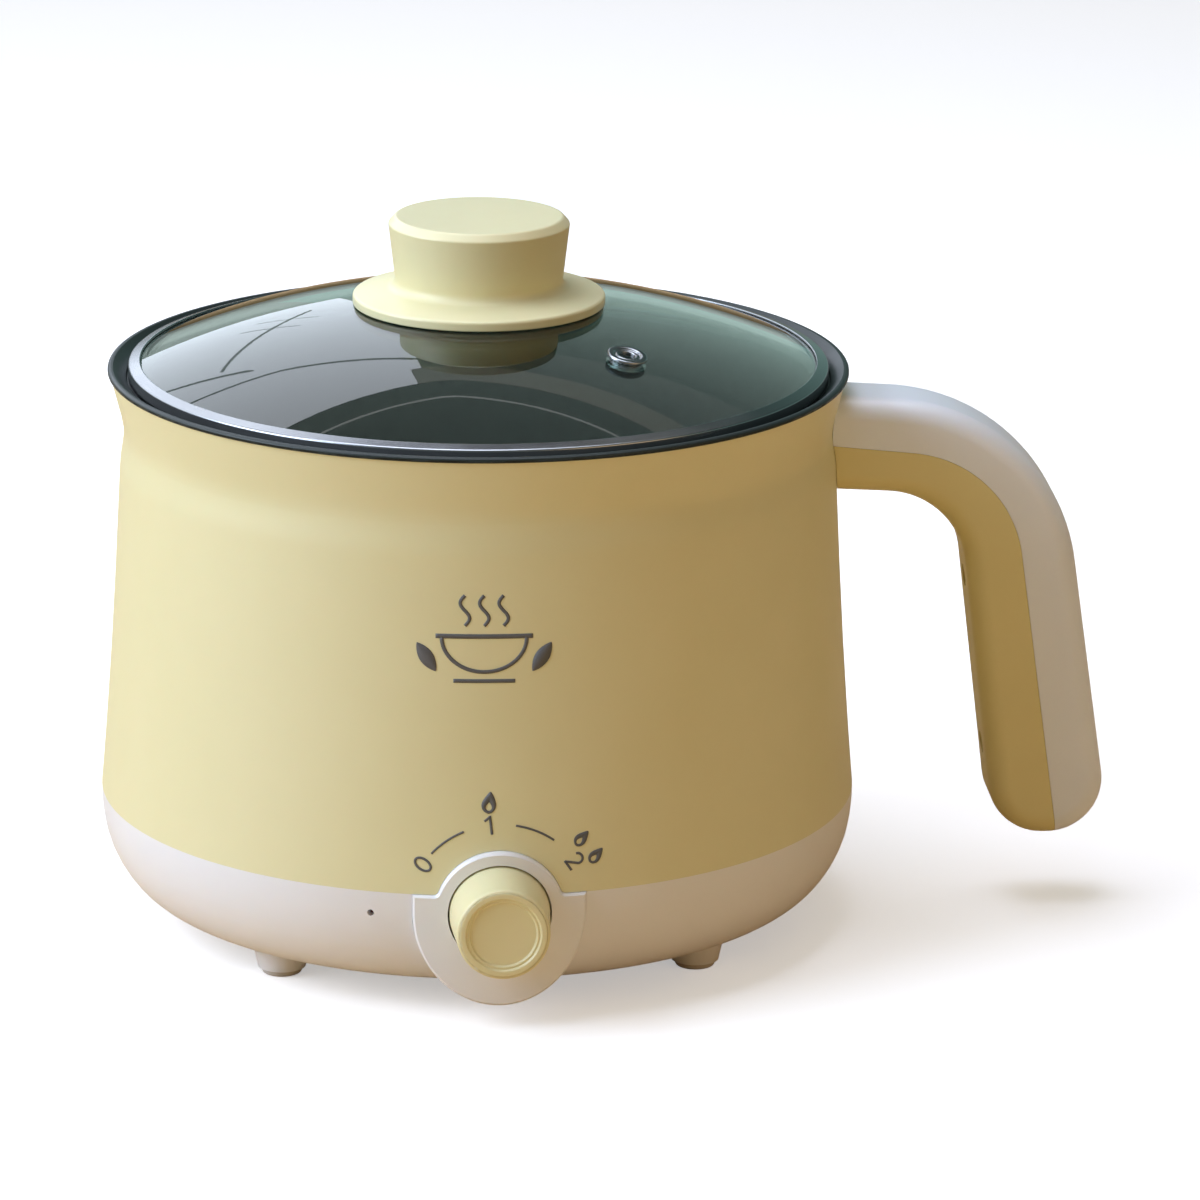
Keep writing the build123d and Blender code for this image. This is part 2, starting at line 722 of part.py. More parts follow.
# ---------------------------------------------------------------- rotary switch
with BuildPart() as rotary_switch_body:
    with BuildSketch(Plane.XZ.offset(-switch_back_y)):
        with Locations((0, dial_z)):
            Circle(switch_radius)
    extrude(amount=switch_depth)
    chamfer(rotary_switch_body.edges().sort_by(Axis.Y)[-1:], case_chamfer)
    with BuildSketch(Plane.XZ.offset(-switch_front_y)):
        with Locations((0, dial_z)):
            Circle(switch_neck_radius)
    extrude(amount=well_floor)
    with BuildSketch(Plane.XZ.offset(-switch_back_y + switch_back_wall)):
        with Locations((0, dial_z)):
            Circle(shaft_radius + shaft_gap)
    extrude(amount=switch_depth + well_floor, mode=Mode.SUBTRACT)
    with BuildSketch(Plane.XZ.offset(-switch_front_y + through)):
        with Locations((-switch_screw_offset, dial_z), (switch_screw_offset, dial_z)):
            Circle(switch_screw_radius + thread_gap)
    extrude(amount=-switch_screw_grip - 2 * through, mode=Mode.SUBTRACT)
rotary_switch_body.part.label = "rotary_switch_body"
rotary_switch_body.part.move(to_footprint)
export_step(rotary_switch_body.part, "parts/rotary_switch_body.step")

lower_spade_z = dial_z - spade_drop
spade_sites = [(-spade_offset, lower_spade_z), (spade_offset, lower_spade_z), (0, dial_z + spade_rise)]
with BuildPart() as switch_terminals:
    with BuildSketch(Plane.XZ.offset(-switch_back_y)):
        with Locations(*spade_sites):
            Rectangle(spade_thickness, spade_width)
    extrude(amount=-spade_length)
switch_terminals.part.label = "switch_terminals"
switch_terminals.part.move(to_footprint)
export_step(switch_terminals.part, "parts/switch_terminals.step")

with BuildPart() as switch_screws:
    for side in (-1, 1):
        seat = (side * switch_screw_offset, well_floor_y + switch_screw_head, dial_z)
        add(
            screw(
                seat, (0, 1, 0), switch_screw_head_radius, switch_screw_head, switch_screw_radius,
                well_floor - switch_screw_head + switch_screw_grip,
            )
        )
switch_screws.part.label = "switch_screws"
switch_screws.part.move(to_footprint)
export_step(switch_screws.part, "parts/switch_screws.step")

# ---------------------------------------------------------------- base
lamp_axis = (-sin(radians(lamp_bearing)), -cos(radians(lamp_bearing)), 0)


def on_lamp_axis(radius):
    """Plane square to the lamp's axis at a distance from the body's axis, facing outwards."""
    centre = (lamp_axis[0] * radius, lamp_axis[1] * radius, lamp_z)
    return Plane(origin=centre, z_dir=lamp_axis)


wall_inner = seam_radius - base_wall - lamp_seat_bite
pad_y = inlet_face_y - inlet_flange
pad_wide = inlet_flange_width + 2 * inlet_pad_margin
pad_high = inlet_flange_height + 2 * inlet_pad_margin
with BuildPart() as inlet_pad:
    with BuildSketch(Plane.XZ.offset(-pad_y)):
        with Locations((0, inlet_z)):
            RectangleRounded(pad_wide, min(pad_high, 2 * (seam_z - inlet_z)), inlet_pad_corner)
    extrude(amount=pad_y - base_flat_radius)
    add(body_core(base_wall / 2, rim_z - through), mode=Mode.SUBTRACT)

with BuildPart() as base_shell:
    with BuildSketch(Plane.XZ):
        with BuildLine():
            base_line(0)
            Polyline((base_flat_radius, foot_lift), (0, foot_lift), (0, base_inner_z))
            Line((0, base_inner_z), (base_flat_radius, base_inner_z))
            base_line(base_wall)
            Line((seam_radius - base_wall, seam_z), (seam_radius, seam_z))
        make_face()
    revolve(axis=Axis.Z)
    tongue_radius = seam_radius - shell_wall - fit_gap
    with BuildSketch(Plane.XZ):
        with BuildLine():
            Polyline(
                (tongue_radius, seam_z),
                (tongue_radius - tongue_draft, seam_z + tongue_height),
                (tongue_radius - tongue_wall, seam_z + tongue_height),
                (tongue_radius - tongue_wall, seam_z - tongue_root),
                (seam_radius - base_wall / 2, seam_z - 2 * tongue_root),
                (seam_radius - base_wall / 2, seam_z),
                (tongue_radius, seam_z),
            )
        make_face()
    revolve(axis=Axis.Z)
    # moulded feet
    foot_bottoms = [(x, y, foot_stub_z) for x, y in foot_sites]
    with Locations(*foot_bottoms):
        Cone(foot_stub_radius, foot_flare, foot_flare_height, align=(Align.CENTER, Align.CENTER, Align.MIN))
    with Locations(*foot_bottoms):
        Cylinder(
            foot_pad_radius + fit_gap,
            foot_pad_recess,
            align=(Align.CENTER, Align.CENTER, Align.MIN),
            mode=Mode.SUBTRACT,
        )
    with Locations(*foot_bottoms):
        Cylinder(
            foot_plug_radius + fit_gap,
            foot_pad_recess + foot_plug_height + fit_gap,
            align=(Align.CENTER, Align.CENTER, Align.MIN),
            mode=Mode.SUBTRACT,
        )
    # posts that reach up to the heating plate
    with BuildSketch(Plane.XY.offset(base_inner_z - base_wall / 2)):
        with Locations(*post_sites):
            Circle(post_radius)
    extrude(amount=post_shoulder_z - base_inner_z + base_wall / 2)
    with BuildSketch(Plane.XY.offset(post_shoulder_z)):
        with Locations(*post_sites):
            Circle(post_neck_radius)
    extrude(amount=boss_under_z - post_shoulder_z)
    with BuildSketch(Plane.XY.offset(foot_lift)):
        with Locations(*post_sites):
            Circle(clamp_head_radius + fit_gap)
    extrude(amount=clamp_seat_z - foot_lift, mode=Mode.SUBTRACT)
    with BuildSketch(Plane.XY.offset(foot_lift)):
        with Locations(*post_sites):
            Circle(clamp_screw_radius + fit_gap)
    extrude(amount=boss_under_z - foot_lift, mode=Mode.SUBTRACT)
    # pad for the wiring block
    with BuildSketch(Plane.XY.offset(base_inner_z - base_wall / 2)):
        with Locations((block_x, block_y)):
            Rectangle(block_length - 2 * block_pad_inset, block_width - 2 * block_pad_inset)
    extrude(amount=block_pad + base_wall / 2)
    # flat pad round the power inlet
    add(inlet_pad.part)
    with BuildSketch(Plane.XZ.offset(-pad_y - through)):
        with Locations((0, inlet_z)):
            RectangleRounded(
                inlet_body_width + 2 * fit_gap, inlet_body_height + 2 * fit_gap, inlet_hole_corner
            )
    extrude(amount=pad_y - base_flat_radius, mode=Mode.SUBTRACT)
    # tube that holds the lamp
    with BuildSketch(on_lamp_axis(wall_inner + through)):
        Circle(lamp_radius + fit_gap + lamp_tube_wall)
    extrude(amount=-lamp_tube_length)
    with BuildSketch(on_lamp_axis(wall_inner)):
        Circle(lamp_radius + fit_gap)
    extrude(amount=-lamp_tube_length, mode=Mode.SUBTRACT)
    with BuildSketch(on_lamp_axis(seam_radius + through)):
        Circle(lamp_hole_radius)
    extrude(amount=-base_wall * 3, mode=Mode.SUBTRACT)
    # cooling slots in the underside
    with BuildSketch(Plane.XY.offset(foot_lift - through)):
        with PolarLocations(slot_ring_radius, slot_count):
            SlotOverall(slot_length, slot_width)
    extrude(amount=base_wall + 2 * through, mode=Mode.SUBTRACT)
    # opening for the control plate
    opening = extrude(plate_outline(fit_gap), amount=2 * seam_radius, mode=Mode.PRIVATE)
    add(opening & front_space, mode=Mode.SUBTRACT)
base_shell.part.label = "base_shell"
base_shell.part.move(to_footprint)
export_step(base_shell.part, "parts/base_shell.step")

with BuildPart() as foot_pads:
    with BuildSketch(Plane.XY):
        with Locations(*foot_sites):
            Circle(foot_pad_radius)
    extrude(amount=foot_stub_z + foot_pad_recess)
    chamfer(foot_pads.edges().group_by(Axis.Z)[0], edge_break)
    with BuildSketch(Plane.XY.offset(foot_stub_z + foot_pad_recess)):
        with Locations(*foot_sites):
            Circle(foot_plug_radius)
    extrude(amount=foot_plug_height)
foot_pads.part.label = "foot_pads"
foot_pads.part.move(to_footprint)
export_step(foot_pads.part, "parts/foot_pads.step")

with BuildPart() as base_screws:
    for x, y in post_sites:
        length = heater_under_z - clamp_seat_z + heater_boss_bite
        seat = (x, y, clamp_seat_z)
        add(screw(seat, (0, 0, 1), clamp_head_radius, clamp_head, clamp_screw_radius, length))
base_screws.part.label = "base_screws"
base_screws.part.move(to_footprint)
export_step(base_screws.part, "parts/base_screws.step")

# ---------------------------------------------------------------- indicator lamp
with BuildPart() as indicator_lens:
    with BuildSketch(on_lamp_axis(wall_inner)):
        Circle(lens_radius)
    extrude(amount=-lens_length)
indicator_lens.part.label = "indicator_lens"
indicator_lens.part.move(to_footprint)
export_step(indicator_lens.part, "parts/indicator_lens.step")

with BuildPart() as indicator_lamp:
    with BuildSketch(on_lamp_axis(wall_inner - lens_length)):
        Circle(lamp_radius)
    extrude(amount=-lamp_length)
indicator_lamp.part.label = "indicator_lamp"
indicator_lamp.part.move(to_footprint)
export_step(indicator_lamp.part, "parts/indicator_lamp.step")

# ---------------------------------------------------------------- power inlet
with BuildPart() as power_inlet_housing:
    with BuildSketch(Plane.XZ.offset(-inlet_face_y)):
        with Locations((0, inlet_z)):
            RectangleRounded(inlet_flange_width, inlet_flange_height, inlet_flange_corner)
    extrude(amount=inlet_flange)
    chamfer(power_inlet_housing.faces().sort_by(Axis.Y)[-1].edges(), edge_break)
    with BuildSketch(Plane.XZ.offset(-inlet_face_y + inlet_flange)):
        with Locations((0, inlet_z)):
            RectangleRounded(inlet_body_width, inlet_body_height, inlet_body_corner)
    extrude(amount=inlet_depth + inlet_back - inlet_flange)
    with BuildSketch(Plane.XZ.offset(-inlet_face_y)) as inlet_profile:
        with Locations((0, inlet_z)):
            Rectangle(inlet_width, inlet_height)
        chamfer(inlet_profile.vertices().group_by(Axis.Y)[-1], inlet_corner)
    extrude(amount=inlet_depth, mode=Mode.SUBTRACT)
    with BuildSketch(Plane.XZ.offset(-inlet_face_y + inlet_depth)):
        with Locations(*pin_sites):
            Rectangle(pin_width + thread_gap, pin_height + thread_gap)
    extrude(amount=inlet_back, mode=Mode.SUBTRACT)
power_inlet_housing.part.label = "power_inlet_housing"
power_inlet_housing.part.move(to_footprint)
export_step(power_inlet_housing.part, "parts/power_inlet_housing.step")

inlet_back_y = inlet_face_y - inlet_depth - inlet_back
with BuildPart() as power_inlet_pins:
    with BuildSketch(Plane.XZ.offset(-inlet_face_y + pin_recess)):
        with Locations(*pin_sites):
            Rectangle(pin_width, pin_height)
    extrude(amount=inlet_face_y - pin_recess - inlet_back_y)
    chamfer(power_inlet_pins.edges().group_by(Axis.Y)[-1], edge_break)
    with BuildSketch(Plane.XZ.offset(-inlet_back_y)):
        with Locations(*pin_sites):
            Rectangle(spade_thickness, spade_width)
    extrude(amount=spade_length)
power_inlet_pins.part.label = "power_inlet_pins"
power_inlet_pins.part.move(to_footprint)
export_step(power_inlet_pins.part, "parts/power_inlet_pins.step")

# ---------------------------------------------------------------- heating
with BuildPart() as heating_plate:
    with BuildSketch(Plane.XY.offset(heater_under_z)):
        Circle(heater_plate_radius)
    extrude(amount=heater_plate_thickness)
    with BuildSketch(Plane.XY.offset(boss_under_z)):
        with Locations(*post_sites):
            Circle(heater_boss_radius)
    extrude(amount=heater_boss_height)
    with BuildSketch(Plane.XY.offset(boss_under_z)):
        with Locations(*post_sites):
            Circle(clamp_screw_radius + thread_gap)
    extrude(amount=heater_boss_height + heater_boss_bite + fit_gap, mode=Mode.SUBTRACT)
    # bosses for the thermostat's strap
    with BuildSketch(Plane.XY.offset(thermostat_strap_z + strap_metal)):
        with Locations(*strap_sites):
            Circle(strap_boss_radius)
    extrude(amount=heater_under_z - thermostat_strap_z - strap_metal)
    with BuildSketch(Plane.XY.offset(thermostat_strap_z)):
        with Locations(*strap_sites):
            Circle(strap_screw_radius + thread_gap)
    extrude(amount=heater_under_z - thermostat_strap_z + heater_boss_bite, mode=Mode.SUBTRACT)
    # groove for the heating element
    with Locations((0, 0, heater_under_z)):
        Torus(element_radius, element_tube + fit_gap, mode=Mode.SUBTRACT)
    with Locations(*[(x, y, heater_under_z) for x, y in element_ends]):
        Cylinder(
            element_end_radius + fit_gap,
            element_tube + 2 * fit_gap,
            align=(Align.CENTER, Align.CENTER, Align.MIN),
            mode=Mode.SUBTRACT,
        )
heating_plate.part.label = "heating_plate"
heating_plate.part.move(to_footprint)
export_step(heating_plate.part, "parts/heating_plate.step")

with BuildPart() as heating_element:
    start_angle = 180 + element_gap_angle / 2
    with BuildLine(Plane.XY.offset(heater_under_z)) as ring:
        CenterArc((0, 0), element_radius, start_angle, 360 - element_gap_angle)
    with BuildSketch(Plane(origin=ring.line @ 0, z_dir=ring.line % 0)):
        Circle(element_tube)
    sweep(path=ring.line)
    with BuildSketch(Plane.XY.offset(heater_under_z + element_tube + fit_gap)):
        with Locations(*element_ends):
            Circle(element_end_radius)
    extrude(amount=-element_end_drop)
    with BuildSketch(Plane.XY.offset(element_pin_top_z)):
        with Locations(*element_ends):
            Circle(element_pin_radius)
    extrude(amount=-element_pin_length)
heating_element.part.label = "heating_element"
heating_element.part.move(to_footprint)
export_step(heating_element.part, "parts/heating_element.step")

with BuildPart() as heat_shield:
    with BuildSketch(Plane.XY.offset(post_shoulder_z)):
        Circle(shield_radius)
        Circle(shield_hole_radius, mode=Mode.SUBTRACT)
        with Locations(*post_sites):
            Circle(post_neck_radius + fit_gap, mode=Mode.SUBTRACT)
        with Locations((0, earth_y)):
            Circle(shield_wire_hole, mode=Mode.SUBTRACT)
    extrude(amount=shield_metal)
heat_shield.part.label = "heat_shield"
heat_shield.part.move(to_footprint)
export_step(heat_shield.part, "parts/heat_shield.step")

# ---------------------------------------------------------------- thermostat and thermal fuse
with BuildPart() as thermostat:
    with BuildSketch(Plane.XY.offset(heater_under_z - thermostat_cap)):
        Circle(thermostat_cap_radius)
    extrude(amount=thermostat_cap)
    with BuildSketch(Plane.XY.offset(thermostat_under_z)):
        Circle(thermostat_radius)
    extrude(amount=thermostat_height - thermostat_cap)
    with BuildSketch(Plane.XY.offset(thermostat_under_z)):
        with Locations((-thermostat_spade_x, 0), (thermostat_spade_x, 0)):
            Rectangle(spade_thickness, spade_width)
    extrude(amount=-spade_length)
thermostat.part.label = "thermostat"
thermostat.part.move(to_footprint)
export_step(thermostat.part, "parts/thermostat.step")

with BuildPart() as thermostat_strap:
    with BuildSketch(Plane.XY.offset(thermostat_strap_z)):
        SlotOverall(2 * strap_half_length, strap_width, rotation=90)
        Circle(thermostat_cap_radius + strap_ring)
        Circle(thermostat_radius + fit_gap, mode=Mode.SUBTRACT)
        with Locations(*strap_sites):
            Circle(strap_screw_radius + fit_gap, mode=Mode.SUBTRACT)
    extrude(amount=strap_metal)
thermostat_strap.part.label = "thermostat_strap"
thermostat_strap.part.move(to_footprint)
export_step(thermostat_strap.part, "parts/thermostat_strap.step")

with BuildPart() as strap_screws:
    for x, y in strap_sites:
        length = heater_under_z - thermostat_strap_z + heater_boss_bite - fit_gap
        seat = (x, y, thermostat_strap_z)
        add(screw(seat, (0, 0, 1), strap_screw_head_radius, strap_screw_head, strap_screw_radius, length))
strap_screws.part.label = "strap_screws"
strap_screws.part.move(to_footprint)
export_step(strap_screws.part, "parts/strap_screws.step")

with BuildPart() as thermal_fuse:
    with BuildSketch(Plane.XZ.offset(-fuse_length / 2)):
        with Locations((fuse_x, fuse_z)):
            Circle(fuse_radius)
    extrude(amount=fuse_length)
    with BuildSketch(Plane.XZ.offset(-fuse_length / 2 - fuse_lead)):
        with Locations((fuse_x, fuse_z)):
            Circle(fuse_lead_radius)
    extrude(amount=fuse_length + 2 * fuse_lead)
thermal_fuse.part.label = "thermal_fuse"
thermal_fuse.part.move(to_footprint)
export_step(thermal_fuse.part, "parts/thermal_fuse.step")

with BuildPart() as thermal_fuse_clip:
    with BuildSketch(Plane.XZ.offset(-clip_width / 2)):
        with BuildLine():
            inner = fuse_radius + fit_gap
            outer = inner + clip_metal
            CenterArc((fuse_x, fuse_z), outer, 180, 180)
            CenterArc((fuse_x, fuse_z), inner, 180, 180)
            for side in (-1, 1):
                Polyline(
                    (fuse_x + side * outer, fuse_z),
                    (fuse_x + side * outer, heater_under_z - clip_metal),
                    (fuse_x + side * (outer + clip_foot), heater_under_z - clip_metal),
                    (fuse_x + side * (outer + clip_foot), heater_under_z),
                    (fuse_x + side * inner, heater_under_z),
                    (fuse_x + side * inner, fuse_z),
                )
        make_face()
    extrude(amount=clip_width)
thermal_fuse_clip.part.label = "thermal_fuse_clip"
thermal_fuse_clip.part.move(to_footprint)
export_step(thermal_fuse_clip.part, "parts/thermal_fuse_clip.step")

# ---------------------------------------------------------------- wiring
with BuildPart() as terminal_block:
    with BuildSketch(Plane.XY.offset(block_z)):
        with Locations((block_x, block_y)):
            Rectangle(block_length, block_width)
    extrude(amount=block_height)
    chamfer(terminal_block.edges().filter_by(Axis.Z), case_chamfer)
    with BuildSketch(Plane.XZ.offset(-block_y - block_width)):
        with Locations(*[(x, block_wire_z) for x in block_channels]):
            Circle(wire_radius + fit_gap)
    extrude(amount=3 * block_width, mode=Mode.SUBTRACT)
terminal_block.part.label = "terminal_block"
terminal_block.part.move(to_footprint)
export_step(terminal_block.part, "parts/terminal_block.step")

with BuildPart() as rectifier_diode:
    diode_z = block_z + block_height + diode_radius
    with BuildSketch(Plane.XZ.offset(-block_y - diode_length / 2)):
        with Locations((block_x, diode_z)):
            Circle(diode_radius)
    extrude(amount=diode_length)
    with BuildSketch(Plane.XZ.offset(-block_y - diode_length)):
        with Locations((block_x, diode_z)):
            Circle(fuse_lead_radius)
    extrude(amount=2 * diode_length)
rectifier_diode.part.label = "rectifier_diode"
rectifier_diode.part.move(to_footprint)
export_step(rectifier_diode.part, "parts/rectifier_diode.step")


inlet_tab_y = inlet_back_y - spade_length
switch_tab_y = switch_back_y + spade_length
wire_low_z = base_inner_z + wire_radius + 0.7
lamp_back = wall_inner - lens_length - lamp_length
lamp_wire_bend = lamp_back - wire_lead
element_y = element_ends[1][1]
wire_routes = {
    "wire_live": [
        (pin_spacing, inlet_tab_y, inlet_z - pin_offset),
        (pin_spacing, inlet_tab_y - wire_lead, inlet_z - pin_offset),
        (block_channels[0], block_y + block_width, block_wire_z),
        (block_channels[0], block_y + wire_end_gap, block_wire_z),
    ],
    "wire_switch_feed": [
        (block_channels[0], block_y - wire_end_gap, block_wire_z),
        (block_channels[0], 0, block_wire_z),
        (spade_offset, switch_tab_y + switch_lead, lower_spade_z),
        (spade_offset, switch_tab_y, lower_spade_z),
    ],
    "wire_thermostat_feed": [
        (-spade_offset, switch_tab_y, lower_spade_z),
        (-spade_offset, switch_tab_y + thermostat_lead, lower_spade_z),
        (thermostat_spade_x, thermostat_run_y, inlet_z + thermostat_run_lift),
        (thermostat_spade_x, 0, inlet_z + thermostat_run_lift),
        (thermostat_spade_x, 0, thermostat_under_z - spade_length),
    ],
    "wire_heater_live": [
        (-thermostat_spade_x - spade_thickness / 2, 0, element_wire_z),
        (fuse_x, heater_run_y, element_wire_z),
        (element_ends[0][0], element_y + wire_lead, element_wire_z),
        (element_ends[0][0], element_y + element_pin_radius, element_wire_z),
    ],
    "wire_neutral": [
        (-pin_spacing, inlet_tab_y, inlet_z - pin_offset),
        (-pin_spacing, inlet_tab_y - neutral_lead, inlet_z - pin_offset),
        (-neutral_turn, neutral_turn, inlet_z),
        (-neutral_turn, neutral_turn, element_wire_z + neutral_lift),
        (fuse_x, fuse_run_y, fuse_z),
        (fuse_x, fuse_length / 2 + fuse_lead, fuse_z),
    ],
    "wire_heater_neutral": [
        (fuse_x, -fuse_length / 2 - fuse_lead, fuse_z),
        (fuse_x, -fuse_length / 2 - fuse_lead - fuse_turn, fuse_z),
        (element_ends[0][0], -element_y - wire_lead, element_wire_z),
        (element_ends[0][0], -element_y - element_pin_radius, element_wire_z),
    ],
    "wire_earth": [
        (0, inlet_tab_y, inlet_z + pin_offset),
        (0, earth_y, inlet_z + pin_offset),
        (0, earth_y, heater_under_z),
    ],
    "wire_lamp": [
        (block_channels[1], block_y - wire_end_gap, block_wire_z),
        (block_channels[1], lamp_run_y, block_wire_z),
        (block_channels[1] - lamp_run_shift, 0, wire_low_z),
        (*lamp_turn, wire_low_z),
        (lamp_axis[0] * lamp_wire_bend, lamp_axis[1] * lamp_wire_bend, lamp_z),
        (lamp_axis[0] * lamp_back, lamp_axis[1] * lamp_back, lamp_z),
    ],
}
for name, route in wire_routes.items():
    with BuildPart() as wire:
        with BuildLine() as path:
            FilletPolyline(*route, radius=wire_bend)
        with BuildSketch(Plane(origin=path.line @ 0, z_dir=path.line % 0)):
            Circle(wire_radius)
        sweep(path=path.line)
    wire.part.label = name
    wire.part.move(to_footprint)
    export_step(wire.part, f"parts/{name}.step")

# ---------------------------------------------------------------- handle
outer_line = (arm_top_z, arm_top_fall, grip_outer_x, grip_outer_lean, outer_bend)
split_line = (arm_split_z, arm_split_fall, grip_split_x, grip_split_lean, split_bend)
inner_line = (arm_under_z, arm_under_fall, grip_inner_x, grip_inner_lean, inner_bend)


def moved(line, amount):
    """A hook line moved outwards, its bend kept concentric."""
    arm_z, fall, grip_x, lean, bend = line
    return (arm_z + amount, fall, grip_x + amount, lean, bend + amount)


with BuildPart() as handle_form:
    outer_root, outer_corner, outer_end = hook_points(outer_line, grip_end_z)
    inner_root, inner_corner, inner_end = hook_points(inner_line, grip_end_z)
    with BuildSketch(Plane.XZ):
        with BuildLine():
            FilletPolyline(
                outer_root, outer_corner, outer_end, inner_end, inner_corner, inner_root,
                radius=[outer_bend, grip_end_round, grip_end_round, inner_bend],
            )
            Line(inner_root, outer_root)
        make_face()
    extrude(amount=handle_width / 2, both=True)
    sides = handle_form.faces().filter_by(Axis.Y)
    long_edges = sides.edges().filter_by(lambda e: e.center().X > arm_root_x + through)
    fillet(long_edges, handle_edge)
    add(body_core(-fit_gap, rim_z), mode=Mode.SUBTRACT)


def hook_solid(upper, lower, end_z, half_width):
    """Hook band given a width, centred on the handle's middle plane."""
    return extrude(hook_band(upper, lower, end_z), amount=half_width, both=True)


beyond_grip = 60.0      # how far the half-space under the joint reaches
far_line = (*moved(inner_line, -beyond_grip)[:-1], through)
core_edge = core_width / 2
beyond_flange = Pos(core_flange_x + far / 2, 0, 0) * Box(far, far, far)
inner_side = hook_solid(split_line, far_line, -beyond_grip, handle_width)
inner_side_clear = hook_solid(moved(split_line, -fit_gap), far_line, -beyond_grip, handle_width)
outer_hollow = beyond_flange & hook_solid(
    moved(outer_line, -handle_wall),
    moved(split_line, -through),
    grip_round_z,
    handle_width / 2 - handle_wall,
)
inner_hollow = beyond_flange & hook_solid(
    moved(split_line, through), moved(inner_line, handle_wall), grip_round_z, core_edge - core_ledge
)
core_recess = beyond_flange & hook_solid(
    moved(split_line, through),
    moved(split_line, -strap_plate - 2 * fit_gap),
    core_end_z - fit_gap,
    core_edge + fit_gap,
)
core_band = beyond_flange & hook_solid(
    moved(split_line, -fit_gap), moved(split_line, -strap_plate - fit_gap), core_end_z, core_edge
)
grip_screw_seats = [
    (grip_inner_x + tan(radians(grip_inner_lean)) * (grip_ref_z - z) + grip_screw_seat, z)
    for z in grip_screw_zs
]
flange_screw_zs = (core_flange_z - handle_screw_rise, core_flange_z + handle_screw_rise)

with BuildPart() as flange_pocket:
    with BuildSketch(Plane.YZ.offset(core_flange_x)):
        with Locations((0, core_flange_z)):
            Rectangle(core_width + 2 * fit_gap, core_flange_height + 2 * fit_gap)
    extrude(amount=strap_plate + fit_gap)

with BuildPart() as root_holes:
    with BuildSketch(Plane.YZ.offset(pad_x)):
        with Locations(*[(0, z) for z in flange_screw_zs]):
            Circle(handle_screw_radius + fit_gap)
    extrude(amount=core_flange_x - pad_x + strap_plate + flange_hole_depth)

with BuildPart() as grip_bosses:
    for x, z in grip_screw_seats:
        with BuildSketch(Plane.YZ.offset(x - grip_screw_seat)):
            with Locations((0, z)):
                Circle(grip_boss_radius)
        extrude(amount=grip_outer_x - grip_inner_x)
    add(handle_form.part, mode=Mode.INTERSECT)

with BuildPart() as handle_outer_shell:
    add(handle_form.part)
    add(inner_side, mode=Mode.SUBTRACT)
    add(outer_hollow, mode=Mode.SUBTRACT)
    add(grip_bosses.part - inner_side)
    add(flange_pocket.part, mode=Mode.SUBTRACT)
    add(root_holes.part, mode=Mode.SUBTRACT)
    for x, z in grip_screw_seats:
        with BuildSketch(Plane.YZ.offset(x)):
            with Locations((0, z)):
                Circle(grip_screw_radius + thread_gap)
        extrude(amount=grip_screw_length + fit_gap, mode=Mode.SUBTRACT)
handle_outer_shell.part.label = "handle_outer_shell"
handle_outer_shell.part.move(to_footprint)
export_step(handle_outer_shell.part, "parts/handle_outer_shell.step")

with BuildPart() as handle_inner_shell:
    add(handle_form.part)
    add(inner_side_clear, mode=Mode.INTERSECT)
    add(inner_hollow, mode=Mode.SUBTRACT)
    add(grip_bosses.part & inner_side_clear)
    add(core_recess, mode=Mode.SUBTRACT)
    add(flange_pocket.part, mode=Mode.SUBTRACT)
    add(root_holes.part, mode=Mode.SUBTRACT)
    for x, z in grip_screw_seats:
        with BuildSketch(Plane.YZ.offset(x)):
            with Locations((0, z)):
                Circle(grip_screw_radius + fit_gap)
        extrude(amount=grip_screw_length, mode=Mode.SUBTRACT)
        with BuildSketch(Plane.YZ.offset(x)):
            with Locations((0, z)):
                Circle(grip_screw_head_radius + fit_gap)
        extrude(amount=-2 * grip_screw_seat, mode=Mode.SUBTRACT)
handle_inner_shell.part.label = "handle_inner_shell"
handle_inner_shell.part.move(to_footprint)
export_step(handle_inner_shell.part, "parts/handle_inner_shell.step")

with BuildPart() as handle_core:
    add(core_band)
    with BuildSketch(Plane.YZ.offset(core_flange_x)):
        with Locations((0, core_flange_z)):
            RectangleRounded(core_width, core_flange_height, core_corner)
    extrude(amount=strap_plate)
    with BuildSketch(Plane.YZ.offset(core_flange_x)):
        with Locations(*[(0, z) for z in flange_screw_zs]):
            Circle(handle_screw_radius + thread_gap)
    extrude(amount=strap_plate, mode=Mode.SUBTRACT)
    for x, z in grip_screw_seats:
        with BuildSketch(Plane.YZ.offset(x)):
            with Locations((0, z)):
                Circle(grip_screw_radius + fit_gap)
        extrude(amount=grip_screw_length, mode=Mode.SUBTRACT)
handle_core.part.label = "handle_core"
handle_core.part.move(to_footprint)
export_step(handle_core.part, "parts/handle_core.step")

with BuildPart() as handle_screws:
    for z in flange_screw_zs:
        length = core_flange_x + strap_plate + flange_screw_proud - pad_x
        seat = (pad_x, 0, z)
        add(screw(seat, (1, 0, 0), handle_screw_head_radius, handle_screw_head, handle_screw_radius, length))
handle_screws.part.label = "handle_screws"
handle_screws.part.move(to_footprint)
export_step(handle_screws.part, "parts/handle_screws.step")

with BuildPart() as grip_screws:
    for x, z in grip_screw_seats:
        seat = (x, 0, z)
        shank = (grip_screw_radius, grip_screw_length)
        add(screw(seat, (1, 0, 0), grip_screw_head_radius, grip_screw_head, *shank))
grip_screws.part.label = "grip_screws"
grip_screws.part.move(to_footprint)
export_step(grip_screws.part, "parts/grip_screws.step")

